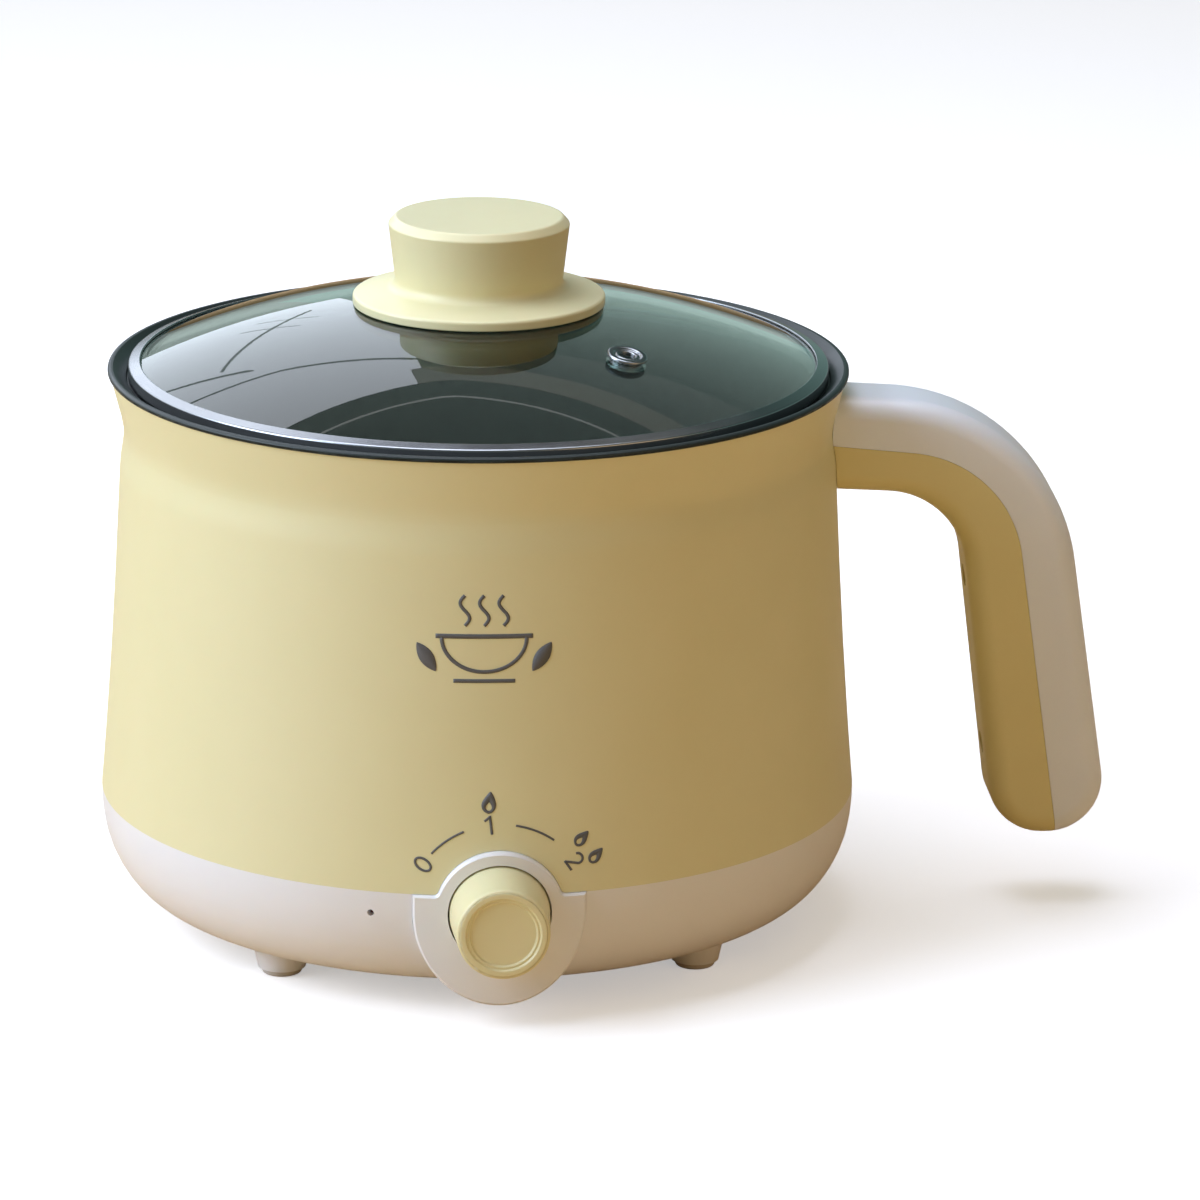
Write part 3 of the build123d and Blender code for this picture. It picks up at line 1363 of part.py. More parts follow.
# ---------------------------------------------------------------- lid
glass_flat_z = ledge_z + band_metal
glass_flat_radius = sqrt((dome_radius - glass_thickness) ** 2 - (glass_flat_z - dome_centre_z) ** 2)
vent_slope = asin(vent_distance / dome_radius)
vent_bearing = radians(vent_angle)
vent_normal = (
    sin(vent_slope) * cos(vent_bearing), sin(vent_slope) * sin(vent_bearing), cos(vent_slope)
)
vent_seat = (
    vent_distance * cos(vent_bearing), vent_distance * sin(vent_bearing), dome_z(vent_distance)
)
vent_plane = Plane(origin=vent_seat, z_dir=vent_normal)

with BuildPart() as lid_glass:
    with BuildSketch(Plane.XZ):
        with BuildLine():
            dome_arc(glass_hole_radius, glass_edge_radius)
            Polyline(
                (glass_edge_radius, dome_z(glass_edge_radius)),
                (glass_edge_radius, glass_flat_z),
                (glass_flat_radius, glass_flat_z),
            )
            dome_arc(glass_hole_radius, glass_flat_radius, glass_thickness)
            Line(
                (glass_hole_radius, dome_z(glass_hole_radius, glass_thickness)),
                (glass_hole_radius, dome_z(glass_hole_radius)),
            )
        make_face()
    revolve(axis=Axis.Z)
    with BuildSketch(vent_plane.offset(through)):
        Circle(vent_tube_radius + fit_gap)
    extrude(amount=-2 * glass_thickness, mode=Mode.SUBTRACT)
lid_glass.part.label = "lid_glass"
lid_glass.part.move(to_footprint)
export_step(lid_glass.part, "parts/lid_glass.step")

with BuildPart() as lid_rim_band:
    band_bore = glass_edge_radius + fit_gap
    with BuildSketch(Plane.XZ):
        with BuildLine():
            Polyline(
                (band_sole_radius, ledge_z),
                (band_radius - band_corner, ledge_z),
                (band_radius, ledge_z + band_corner),
                (band_radius, dome_z(band_bore) + fit_gap + band_metal - band_bevel),
                (band_bore, dome_z(band_bore) + fit_gap + band_metal),
                (band_lip_radius, dome_z(band_lip_radius) + fit_gap + band_metal),
                (band_lip_radius, dome_z(band_lip_radius) + fit_gap),
                (band_bore, dome_z(band_bore) + fit_gap),
                (band_bore, glass_flat_z),
                (band_sole_radius, glass_flat_z),
                (band_sole_radius, ledge_z),
            )
        make_face()
    revolve(axis=Axis.Z)
lid_rim_band.part.label = "lid_rim_band"
lid_rim_band.part.move(to_footprint)
export_step(lid_rim_band.part, "parts/lid_rim_band.step")

with BuildPart() as steam_vent_eyelet:
    lower_flange = -glass_thickness - fit_gap
    with BuildSketch(vent_plane):
        Circle(vent_flange_radius)
    extrude(amount=vent_flange)
    chamfer(steam_vent_eyelet.edges().sort_by(Axis(vent_seat, vent_normal))[-1:], edge_break)
    with BuildSketch(vent_plane.offset(lower_flange - vent_flange)):
        Circle(vent_tube_radius)
    extrude(amount=vent_flange - lower_flange)
    with BuildSketch(vent_plane.offset(lower_flange)):
        Circle(vent_flange_radius)
    extrude(amount=-vent_flange)
    with BuildSketch(vent_plane.offset(vent_flange)):
        Circle(vent_bore_radius)
    extrude(amount=-2 * vent_flange - 2 * glass_thickness, mode=Mode.SUBTRACT)
steam_vent_eyelet.part.label = "steam_vent_eyelet"
steam_vent_eyelet.part.move(to_footprint)
export_step(steam_vent_eyelet.part, "parts/steam_vent_eyelet.step")

knob_under_z = dome_z(knob_flange_radius) + moving_gap
knob_top_z = knob_under_z + knob_height
with BuildPart() as lid_knob:
    with BuildSketch(Plane.XZ):
        with BuildLine():
            pocket = gasket_radius + gasket_room
            dome_arc(pocket, knob_flange_radius, -moving_gap)
            Polyline(
                (knob_flange_radius, knob_under_z),
                (knob_flange_radius, knob_under_z + knob_flange_edge),
                (knob_foot_radius, knob_under_z + knob_flange_edge + knob_flange_rise),
                (knob_head_radius, knob_top_z - knob_chamfer),
                (knob_head_radius - knob_chamfer, knob_top_z),
                (0, knob_top_z),
                (0, dome_z(0, -gasket_thickness)),
            )
            dome_arc(0, pocket, -gasket_thickness)
            Line((pocket, dome_z(pocket, -gasket_thickness)), (pocket, dome_z(pocket, -moving_gap)))
        make_face()
    revolve(axis=Axis.Z)
    knob_circles = lid_knob.edges().filter_by(GeomType.CIRCLE)
    foot_z = knob_under_z + knob_flange_edge + knob_flange_rise
    fillet(knob_circles.filter_by(lambda e: abs(e.center().Z - foot_z) < thread_gap), knob_foot_fillet)
    edge_z = knob_under_z + knob_flange_edge
    knob_circles = lid_knob.edges().filter_by(GeomType.CIRCLE)
    fillet(knob_circles.filter_by(lambda e: abs(e.center().Z - edge_z) < thread_gap), knob_flange_round)
    with BuildSketch(Plane.XY.offset(knob_top_z - knob_wall)):
        Circle(knob_foot_radius - knob_wall)
        Circle(knob_boss_radius, mode=Mode.SUBTRACT)
    extrude(amount=-2 * knob_height, mode=Mode.SUBTRACT)
    with BuildSketch(Plane.XY.offset(dome_z(0))):
        Circle(lid_screw_radius + thread_gap)
    extrude(amount=lid_screw_length, mode=Mode.SUBTRACT)
lid_knob.part.label = "lid_knob"
lid_knob.part.move(to_footprint)
export_step(lid_knob.part, "parts/lid_knob.step")

with BuildPart() as lid_knob_gasket:
    with BuildSketch(Plane.XZ):
        with BuildLine():
            dome_arc(glass_hole_radius, gasket_radius, -thread_gap)
            upper = -gasket_thickness + thread_gap
            Line(
                (gasket_radius, dome_z(gasket_radius, -thread_gap)),
                (gasket_radius, dome_z(gasket_radius, upper)),
            )
            dome_arc(glass_hole_radius, gasket_radius, upper)
            Line(
                (glass_hole_radius, dome_z(glass_hole_radius, -thread_gap)),
                (glass_hole_radius, dome_z(glass_hole_radius, upper)),
            )
        make_face()
    revolve(axis=Axis.Z)
lid_knob_gasket.part.label = "lid_knob_gasket"
lid_knob_gasket.part.move(to_footprint)
export_step(lid_knob_gasket.part, "parts/lid_knob_gasket.step")

seal_top_z = dome_z(lid_seal_radius, glass_thickness)
washer_top_z = seal_top_z - lid_seal_thickness
screw_seat_z = washer_top_z - lid_washer_thickness
with BuildPart() as lid_screw_seal:
    with BuildSketch(Plane.XY.offset(washer_top_z)):
        Circle(lid_seal_radius)
        Circle(lid_screw_radius + fit_gap, mode=Mode.SUBTRACT)
    extrude(amount=lid_seal_thickness)
lid_screw_seal.part.label = "lid_screw_seal"
lid_screw_seal.part.move(to_footprint)
export_step(lid_screw_seal.part, "parts/lid_screw_seal.step")

with BuildPart() as lid_screw_washer:
    with BuildSketch(Plane.XY.offset(screw_seat_z)):
        Circle(lid_washer_radius)
        Circle(lid_screw_radius + fit_gap, mode=Mode.SUBTRACT)
    extrude(amount=lid_washer_thickness)
    chamfer(lid_screw_washer.edges().group_by(Axis.Z)[0].sort_by(SortBy.RADIUS)[-1:], edge_break)
lid_screw_washer.part.label = "lid_screw_washer"
lid_screw_washer.part.move(to_footprint)
export_step(lid_screw_washer.part, "parts/lid_screw_washer.step")

with BuildPart() as lid_knob_screw:
    seat = (0, 0, screw_seat_z)
    add(screw(seat, (0, 0, 1), lid_screw_head_radius, lid_screw_head, lid_screw_radius, lid_screw_length))
lid_knob_screw.part.label = "lid_knob_screw"
lid_knob_screw.part.move(to_footprint)
export_step(lid_knob_screw.part, "parts/lid_knob_screw.step")
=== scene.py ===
"""Dresses the electric hot pot: its finishes, its fine surfaces, its printing and the studio.

Lengths in the classes are millimetres in the pot's own frame: the pot's axis is at
zero, the table at Z = 0, the dial faces -Y and the handle points to +X.  They are
turned into metres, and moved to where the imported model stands, when a mesh is made.
"""

import json
import logging
import math
from dataclasses import dataclass, field
from enum import Enum
from typing import Any, Callable, Sequence

import bmesh
import bpy
import numpy as np
from mathutils import Matrix, Vector

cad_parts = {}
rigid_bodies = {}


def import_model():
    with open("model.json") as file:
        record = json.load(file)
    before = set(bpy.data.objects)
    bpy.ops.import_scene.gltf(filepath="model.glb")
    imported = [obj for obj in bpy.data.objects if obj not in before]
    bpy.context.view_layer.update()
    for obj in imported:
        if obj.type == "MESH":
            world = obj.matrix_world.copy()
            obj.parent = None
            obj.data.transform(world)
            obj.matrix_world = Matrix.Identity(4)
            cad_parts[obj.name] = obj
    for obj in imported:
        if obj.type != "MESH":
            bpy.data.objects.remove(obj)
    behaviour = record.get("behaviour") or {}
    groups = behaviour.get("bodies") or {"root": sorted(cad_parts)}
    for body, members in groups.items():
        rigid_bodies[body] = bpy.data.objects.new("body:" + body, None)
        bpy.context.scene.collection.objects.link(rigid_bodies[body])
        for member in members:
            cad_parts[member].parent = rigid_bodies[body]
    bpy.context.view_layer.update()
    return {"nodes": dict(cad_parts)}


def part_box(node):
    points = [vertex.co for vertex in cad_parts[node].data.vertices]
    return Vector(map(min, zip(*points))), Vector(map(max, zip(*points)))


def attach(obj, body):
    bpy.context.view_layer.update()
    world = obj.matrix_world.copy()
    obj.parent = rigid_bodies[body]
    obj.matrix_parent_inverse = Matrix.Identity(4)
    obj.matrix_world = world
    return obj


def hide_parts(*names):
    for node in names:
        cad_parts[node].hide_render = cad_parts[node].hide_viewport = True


LOG = logging.getLogger("hot_pot")
MM = 0.001
TINY = 1e-6

Array = np.ndarray


class Body(Enum):
    """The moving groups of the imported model."""

    ROOT = "root"
    LID = "lid"
    DIAL = "dial"


class Relief(Enum):
    """How a surface was made, which decides the pattern that it carries."""

    SPARK_ERODED = "spark eroded mould"
    SPRAYED = "sprayed coating"
    BRUSHED = "brushed metal"
    CAST = "cast or fired surface"
    CLEAR = "clear"


# ------------------------------------------------------------------ colour and nodes


def linear(colour: str) -> tuple[float, float, float, float]:
    """Turns an sRGB hex colour into linear light.

    Args:
        colour: six hex digits after a hash.

    Returns:
        Red, green, blue and an alpha of one.
    """
    values = [int(colour[i:i + 2], 16) / 255 for i in (1, 3, 5)]
    light = [v / 12.92 if v <= 0.04045 else ((v + 0.055) / 1.055) ** 2.4 for v in values]
    return (light[0], light[1], light[2], 1.0)


def add_node(
    tree: bpy.types.NodeTree,
    kind: str,
    settings: dict[str, Any] | None = None,
    inputs: dict[Any, Any] | None = None,
) -> bpy.types.Node:
    """Adds a node, sets its options and fills or links its sockets.

    Args:
        tree: the node tree to add to.
        kind: the node's class name without its ShaderNode prefix.
        settings: options of the node by name.
        inputs: values or output sockets by input name or number.

    Returns:
        The new node.
    """
    node = tree.nodes.new("ShaderNode" + kind)
    for name, value in (settings or {}).items():
        setattr(node, name, value)
    for name, value in (inputs or {}).items():
        if isinstance(value, bpy.types.NodeSocket):
            tree.links.new(value, node.inputs[name])
        else:
            node.inputs[name].default_value = value
    return node


def cleared_tree(owner: bpy.types.Material | bpy.types.World) -> bpy.types.NodeTree:
    """Switches an owner's nodes on and empties its tree.

    Args:
        owner: the material or world.

    Returns:
        The empty tree.
    """
    owner.use_nodes = True
    owner.node_tree.nodes.clear()
    return owner.node_tree


# What every finish shares.
PALM = 26.0             # mm, the size of the broad mottling
BRUSH_STRETCH = 14.0    # a brushed line is this much longer than it is high
SECOND_FROM, SECOND_TO = 0.35, 0.70     # noise over which the second colour comes in
ROUGH_FROM, ROUGH_TO = 0.3, 0.7         # noise over which smooth turns to rough
COAT_ROUGHNESS = 0.12
SCATTER_DEPTH = 1.5     # mm that light goes into plastic


@dataclass(frozen=True)
class Finish:
    """One real material: what it is, how its surface was made and how it takes light.

    grain is the pattern's real size and bump its depth, both in millimetres.  mottle
    is how far the second colour shows, from 0 to 1.
    """

    name: str
    colour: str
    second: str
    relief: Relief
    roughness: float
    spread: float = 0.05
    metallic: float = 0.0
    ior: float = 1.5
    coat: float = 0.0
    transmission: float = 0.0
    subsurface: float = 0.0
    grain: float = 0.8
    bump: float = 0.01
    mottle: float = 0.3

    def material(self) -> bpy.types.Material:
        """Builds the node material, or takes the one that was built before.

        Returns:
            The material.
        """
        if self.name in bpy.data.materials:
            return bpy.data.materials[self.name]
        made = bpy.data.materials.new(self.name)
        tree = cleared_tree(made)
        place = add_node(tree, "TexCoord").outputs["Object"]
        if self.relief is Relief.BRUSHED:
            # the brush runs round the piece, so the lines are short upwards and long sideways
            stretch = add_node(
                tree, "Mapping", inputs={"Vector": place, "Scale": (1.0, 1.0, BRUSH_STRETCH)}
            )
            place = stretch.outputs["Vector"]
        fine, broad = (
            add_node(
                tree,
                "TexNoise",
                inputs={"Vector": place, "Scale": 1 / (size * MM), "Detail": detail},
            )
            for size, detail in ((self.grain, 3.0), (PALM, 2.0))
        )
        shade = add_node(
            tree,
            "MapRange",
            inputs={
                0: self.pattern(tree, fine, broad), 1: SECOND_FROM, 2: SECOND_TO,
                3: 0.0, 4: self.mottle,
            },
        )
        tint = add_node(
            tree,
            "Mix",
            {"data_type": "RGBA"},
            {"Factor": shade.outputs[0], "A": linear(self.colour), "B": linear(self.second)},
        )
        rough = add_node(
            tree,
            "MapRange",
            inputs={
                0: broad.outputs[0], 1: ROUGH_FROM, 2: ROUGH_TO,
                3: max(self.roughness - self.spread, 0.0), 4: self.roughness + self.spread,
            },
        )
        raised = add_node(
            tree,
            "Bump",
            inputs={"Height": fine.outputs[0], "Distance": self.bump * MM, "Strength": 1.0},
        )
        surface = add_node(
            tree,
            "BsdfPrincipled",
            inputs={
                "Base Color": tint.outputs["Result"],
                "Roughness": rough.outputs[0],
                "Metallic": self.metallic,
                "IOR": self.ior,
                "Coat Weight": self.coat,
                "Coat Roughness": COAT_ROUGHNESS,
                "Transmission Weight": self.transmission,
                "Subsurface Weight": self.subsurface,
                "Subsurface Scale": SCATTER_DEPTH * MM,
            },
        )
        if self.bump:
            tree.links.new(raised.outputs[0], surface.inputs["Normal"])
        add_node(tree, "OutputMaterial", inputs={"Surface": surface.outputs[0]})
        return made

    def pattern(
        self, tree: bpy.types.NodeTree, fine: bpy.types.Node, broad: bpy.types.Node
    ) -> bpy.types.NodeSocket:
        """Chooses the pattern that mixes the two colours.

        Args:
            tree: the material's tree.
            fine: the noise at grain size.
            broad: the noise at the size of a hand.

        Returns:
            The output to read the mix from.
        """
        if self.relief in (Relief.SPRAYED, Relief.BRUSHED, Relief.CAST):
            return fine.outputs[0]
        return broad.outputs[0]


# Polypropylene from a spark-eroded mould: satin, with a faint grain and soft depth.
# The real grain is about 0.2 mm and is drawn coarser, so that it shows.
YELLOW_PP = Finish(
    "yellow_polypropylene", "#e3dcae", "#ddd5a2", Relief.SPARK_ERODED, 0.44, grain=0.7, bump=0.006,
    subsurface=0.06,
)
# The same mould finish on the lid's knob and the dial, a little smoother to the touch.
KNOB_PP = Finish(
    "knob_polypropylene", "#e5deb0", "#dfd7a5", Relief.SPARK_ERODED, 0.40, grain=0.6, bump=0.005,
    subsurface=0.06,
)
# The grip's inner half: the same moulding in a deeper, more saturated copy of the yellow, which
# paints in the shade and warm bounce light inside the grip.
GRIP_PP_PAINTED_SHADE = Finish(
    "grip_polypropylene_painted_shade", "#e1d498", "#dbcc8c", Relief.SPARK_ERODED, 0.46, grain=0.7, bump=0.006,
    subsurface=0.04,
)
# White ABS: neutral, satin, a little glossier than the shell.
WHITE_ABS = Finish(
    "white_abs", "#ecedef", "#e5e5e6", Relief.SPARK_ERODED, 0.34, grain=0.7, bump=0.004,
    subsurface=0.04,
)
# The grip's outer half: the same ABS in a bluer copy, which paints in the cool light that falls on
# the grip's top from above.
GRIP_ABS_PAINTED_COOL_LIGHT = Finish(
    "grip_abs_painted_cool_light", "#eaeff5", "#e2e7ed", Relief.SPARK_ERODED, 0.32, grain=0.7, bump=0.004,
    subsurface=0.04,
)
# Sprayed ceramic non-stick coat on aluminium: dark green-grey with a fine fleck.
NONSTICK = Finish(
    "nonstick_coated_aluminium", "#1f2826", "#343e3b", Relief.SPRAYED, 0.42, ior=1.35, grain=0.5,
    bump=0.006, mottle=0.35,
)
# Tempered soda-lime glass: clear, with the green of its iron, 4 mm thick.
LID_GLASS = Finish(
    "tempered_glass", "#bcd2cc", "#b7cec7", Relief.CLEAR, 0.0, spread=0.0, ior=1.5,
    transmission=1.0, bump=0.0,
)
# Pressed stainless strip, polished, with the draw marks running round.
BAND_STEEL = Finish(
    "polished_stainless", "#96999b", "#85888b", Relief.BRUSHED, 0.24, spread=0.04, metallic=1.0,
    grain=1.2, bump=0.002,
)
# Screws and the switch's shaft: bright zinc plate, a little cloudy.
ZINC_STEEL = Finish(
    "zinc_plated_steel", "#b4b5ae", "#9a9c98", Relief.BRUSHED, 0.34, metallic=1.0, grain=0.9,
    bump=0.004,
)
# Cold-rolled sheet as it comes from the press: grey, with faint rolling lines.
SHEET_STEEL = Finish(
    "plain_sheet_steel", "#a3a6a8", "#8c9093", Relief.BRUSHED, 0.38, metallic=1.0, grain=1.4,
    bump=0.004,
)
# The element's tube after its first heat: brown-grey and uneven.
HEATED_STEEL = Finish(
    "heat_tinted_steel", "#6d6862", "#4c4a4a", Relief.CAST, 0.42, metallic=1.0, grain=2.4, bump=0.01
)
# Die-cast aluminium: dull grey with a shallow, coarse skin.
CAST_ALUMINIUM = Finish(
    "cast_aluminium", "#a9abad", "#8f9193", Relief.CAST, 0.48, metallic=1.0, grain=1.1, bump=0.03
)
# Stamped brass strip, phenolic, glazed steatite and silicone, as in any cooker's wiring.
BRASS = Finish("stamped_brass", "#c9a35a", "#b18c48", Relief.BRUSHED, 0.28, metallic=1.0, grain=0.8)
PHENOLIC = Finish("black_phenolic", "#1f1f21", "#29292c", Relief.SPARK_ERODED, 0.42, grain=0.8)
STEATITE = Finish("glazed_steatite", "#e4ddcf", "#d9d0be", Relief.CAST, 0.25, grain=1.6, coat=0.3)
SILICONE = Finish("clear_silicone", "#dedcd6", "#d2d0ca", Relief.SPARK_ERODED, 0.5, subsurface=0.3)
PAD_RUBBER = Finish("pad_rubber", "#cfc9c0", "#bfb8ae", Relief.CAST, 0.7, grain=0.9, bump=0.02)
RED_LENS = Finish(
    "red_polycarbonate", "#8c1c12", "#7a160e", Relief.CLEAR, 0.1, transmission=0.6, ior=1.58,
    bump=0.0,
)
BROWN_SILICONE = Finish("brown_silicone", "#5b3a24", "#4c2f1c", Relief.SPARK_ERODED, 0.5)
BLUE_SILICONE = Finish("blue_silicone", "#24508f", "#1d437c", Relief.SPARK_ERODED, 0.5)
GREEN_SILICONE = Finish(
    "green_silicone", "#3f8f2a", "#c9b534", Relief.CAST, 0.5, grain=5.0, mottle=0.9
)
# Pad-printed ink: matt, thin, slightly uneven where the pad lifted.
PAD_INK = Finish("pad_printed_ink", "#5a5b5d", "#68696a", Relief.CAST, 0.55, grain=0.5, bump=0.003)

NODE_FINISHES: dict[str, Finish] = {
    "outer_shell": YELLOW_PP, "handle_inner_shell": GRIP_PP_PAINTED_SHADE, "base_shell": WHITE_ABS,
    "control_plate": WHITE_ABS, "handle_outer_shell": GRIP_ABS_PAINTED_COOL_LIGHT, "inner_pot": NONSTICK,
    "foot_pads": PAD_RUBBER, "base_screws": ZINC_STEEL, "strap_screws": ZINC_STEEL,
    "switch_screws": ZINC_STEEL, "handle_screws": ZINC_STEEL, "grip_screws": ZINC_STEEL,
    "switch_shaft": ZINC_STEEL, "heat_shield": SHEET_STEEL, "handle_core": SHEET_STEEL,
    "thermostat_strap": SHEET_STEEL, "thermal_fuse_clip": SHEET_STEEL,
    "heating_plate": CAST_ALUMINIUM, "heating_element": HEATED_STEEL,
    "thermostat": STEATITE, "thermal_fuse": STEATITE,
    "terminal_block": STEATITE, "rectifier_diode": PHENOLIC, "rotary_switch_body": PHENOLIC,
    "power_inlet_housing": PHENOLIC, "switch_terminals": BRASS, "power_inlet_pins": BRASS,
    "indicator_lens": RED_LENS, "indicator_lamp": RED_LENS, "wire_live": BROWN_SILICONE,
    "wire_switch_feed": BROWN_SILICONE, "wire_thermostat_feed": BROWN_SILICONE,
    "wire_heater_live": BROWN_SILICONE, "wire_neutral": BLUE_SILICONE,
    "wire_heater_neutral": BLUE_SILICONE, "wire_lamp": BLUE_SILICONE, "wire_earth": GREEN_SILICONE,
    "lid_glass": LID_GLASS, "lid_rim_band": BAND_STEEL, "steam_vent_eyelet": BAND_STEEL,
    "lid_knob": KNOB_PP, "lid_knob_gasket": SILICONE, "lid_screw_seal": SILICONE,
    "lid_screw_washer": BAND_STEEL, "lid_knob_screw": BAND_STEEL, "control_dial": KNOB_PP,
}


# ------------------------------------------------------------------ surfaces


def rounded(corners: Sequence[tuple[float, float, float]], steps: int = 7) -> Array:
    """Outline through corners, each rounded by an arc that touches both of its sides.

    The arc's ends lie r / tan(half the corner's angle) from the corner, and its points
    are the turned sum of the two end vectors seen from the arc's centre.  A support
    point follows each arc closely, so that a flat side stays flat when it is shaded.

    Args:
        corners: x, y and radius of each corner; the first and last stay sharp.
        steps: points on each arc.

    Returns:
        Points of the outline, one row each.
    """
    data = np.asarray(corners, float)
    spot, radius = data[:, :2], data[:, 2]
    back = spot[:-2] - spot[1:-1]
    ahead = spot[2:] - spot[1:-1]
    back_length = np.linalg.norm(back, axis=1, keepdims=True)
    ahead_length = np.linalg.norm(ahead, axis=1, keepdims=True)
    back, ahead = back / back_length, ahead / ahead_length
    half = np.arccos(np.clip((back * ahead).sum(1), -1, 1)) / 2
    shorter = np.minimum(back_length, ahead_length)
    most = 0.49 * shorter[:, 0]     # an arc takes less than half of a side
    reach = np.minimum(radius[1:-1] / np.tan(half), most)
    size = reach * np.tan(half)
    middle = back + ahead
    middle = middle / np.maximum(np.linalg.norm(middle, axis=1, keepdims=True), TINY)
    centre = spot[1:-1] + middle * (size / np.sin(half))[:, None]
    start = spot[1:-1] + back * reach[:, None] - centre
    stop = spot[1:-1] + ahead * reach[:, None] - centre
    sweep = math.pi - 2 * half
    share = np.linspace(0, 1, steps)[None, :, None]
    angle = np.maximum(sweep, TINY)[:, None, None]
    arcs = np.sin((1 - share) * angle) * start[:, None] + np.sin(share * angle) * stop[:, None]
    arcs = arcs / np.sin(angle) + centre[:, None]
    gap = np.minimum(0.25, 0.2 * shorter)
    before = arcs[:, :1] + (back * gap)[:, None]
    after = arcs[:, -1:] + (ahead * gap)[:, None]
    line = np.concatenate([before, arcs, after], axis=1).reshape(-1, 2)
    line = np.vstack([spot[:1], line, spot[-1:]])
    keep = np.r_[True, np.linalg.norm(np.diff(line, axis=0), axis=1) > 1e-4]
    return line[keep]


def mesh_object(
    name: str, points: Array, faces: Array, pot: "PotFrame | None" = None
) -> bpy.types.Object:
    """Makes an object from whole arrays.

    Args:
        name: the piece's name.
        points: x, y, z in millimetres, one row per vertex.
        faces: four vertex numbers a row; a triangle repeats its last number.
        pot: the frame to place the points in, or None where they are in metres.

    Returns:
        The object, at the origin, with its place in its mesh.
    """
    metres = pot.placed(points) if pot else np.asarray(points, float)
    triangle = faces[:, 2] == faces[:, 3]
    counts = np.where(triangle, 3, 4)
    loops = faces[np.arange(4)[None, :] < counts[:, None]]
    mesh = bpy.data.meshes.new(name)
    mesh.vertices.add(len(metres))
    mesh.vertices.foreach_set("co", metres.astype(np.float32).ravel())
    mesh.loops.add(len(loops))
    mesh.loops.foreach_set("vertex_index", loops.astype(np.int32))
    mesh.polygons.add(len(faces))
    mesh.polygons.foreach_set("loop_start", np.r_[0, np.cumsum(counts)[:-1]].astype(np.int32))
    mesh.polygons.foreach_set("use_smooth", np.ones(len(faces), bool))
    mesh.update(calc_edges=True)
    mesh.validate()
    made = bpy.data.objects.new(name, mesh)
    bpy.context.scene.collection.objects.link(made)
    return made


def grid_faces(rows: int, columns: int, wrap_rows: bool, wrap_columns: bool) -> Array:
    """Quads of a grid of rows by columns, joined at its ends where it wraps.

    Args:
        rows: rows of vertices.
        columns: vertices in a row.
        wrap_rows: whether the last row joins the first.
        wrap_columns: whether each row's last vertex joins its first.

    Returns:
        Four vertex numbers a row.
    """
    row = np.arange(rows if wrap_rows else rows - 1)
    column = np.arange(columns if wrap_columns else columns - 1)
    i, j = np.meshgrid(row, column, indexing="ij")
    below, beside = (i + 1) % rows, (j + 1) % columns
    corners = [i * columns + j, i * columns + beside, below * columns + beside, below * columns + j]
    return np.stack(corners, axis=-1).reshape(-1, 4)


def turned(
    name: str, outline: Array, pot: "PotFrame", segments: int = 256, place: Matrix | None = None
) -> bpy.types.Object:
    """Surface of revolution: each outline point (r, h) goes round to (r cos t, r sin t, h).

    An outline whose ends lie on the axis gets one vertex at each pole, and any other
    outline is closed on itself, so the skin has no open edge either way.  The outline
    runs from the bottom outwards and up, so that the faces point outwards.

    Args:
        name: the piece's name.
        outline: radius and height in millimetres.
        pot: the frame to place it in.
        segments: steps round the axis.
        place: turns the axis from +Z and moves it, or None for the pot's own axis.

    Returns:
        The new object.
    """
    on_axis = outline[0, 0] < TINY and outline[-1, 0] < TINY
    body = outline[1:-1] if on_axis else outline
    turn = np.linspace(0, 2 * math.pi, segments, endpoint=False)
    radius, height = body[:, :1], np.repeat(body[:, 1:], segments, axis=1)
    points = np.stack([radius * np.cos(turn), radius * np.sin(turn), height], axis=-1)
    points = points.reshape(-1, 3)
    faces = grid_faces(len(body), segments, not on_axis, True)
    if on_axis:
        first, last = len(points), len(points) + 1
        points = np.vstack([points, [[0, 0, outline[0, 1]], [0, 0, outline[-1, 1]]]])
        here = np.arange(segments)
        there = (here + 1) % segments
        top = (len(body) - 1) * segments
        low_fan = np.stack([np.full(segments, first), there, here, here], axis=1)
        high_fan = np.stack([np.full(segments, last), here + top, there + top, there + top], axis=1)
        faces = np.vstack([faces, low_fan, high_fan])
    if place is not None:
        matrix = np.array(place)
        points = points @ matrix[:3, :3].T + matrix[:3, 3]
    return mesh_object(name, points, faces, pot)


@dataclass
class PotFrame:
    """Where the pot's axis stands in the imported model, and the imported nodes."""

    nodes: dict[str, bpy.types.Object]
    axis: Vector = field(init=False)

    def __post_init__(self) -> None:
        """Reads the axis from the middle of the round inner pot."""
        low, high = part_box("inner_pot")
        self.axis = Vector(((low.x + high.x) / 2, (low.y + high.y) / 2, 0.0))

    def placed(self, points: Array) -> Array:
        """Millimetres round the pot's axis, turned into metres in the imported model."""
        return np.asarray(points, float) * MM + np.array(self.axis)

    def own(self, node: str) -> Array:
        """Finds a node's vertices.

        Args:
            node: the node's name.

        Returns:
            x, y, z in millimetres round the pot's axis, one row per vertex.
        """
        mesh = self.nodes[node].data
        flat = np.empty(len(mesh.vertices) * 3, np.float32)
        mesh.vertices.foreach_get("co", flat)
        return (flat.reshape(-1, 3).astype(float) - np.array(self.axis)) / MM

    def finish(
        self,
        piece: bpy.types.Object,
        finish: Finish,
        body: Body,
        slot: str,
        stands_for: Sequence[str] = (),
    ) -> None:
        """Dresses a new piece and joins it to its body.

        Args:
            piece: the new object.
            finish: its material.
            body: the body it moves with.
            slot: the record's material slot; not used.
            stands_for: the nodes it is shown instead of.
        """
        piece.data.materials.clear()
        piece.data.materials.append(finish.material())
        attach(piece, body.value)
        if stands_for:
            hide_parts(*stands_for)
        LOG.info("%s: %d faces, %s", piece.name, len(piece.data.polygons), finish.name)


# ------------------------------------------------------------------ sub-assemblies
#
# An outline's corner is its radius from the axis, its height and how far it is rounded.


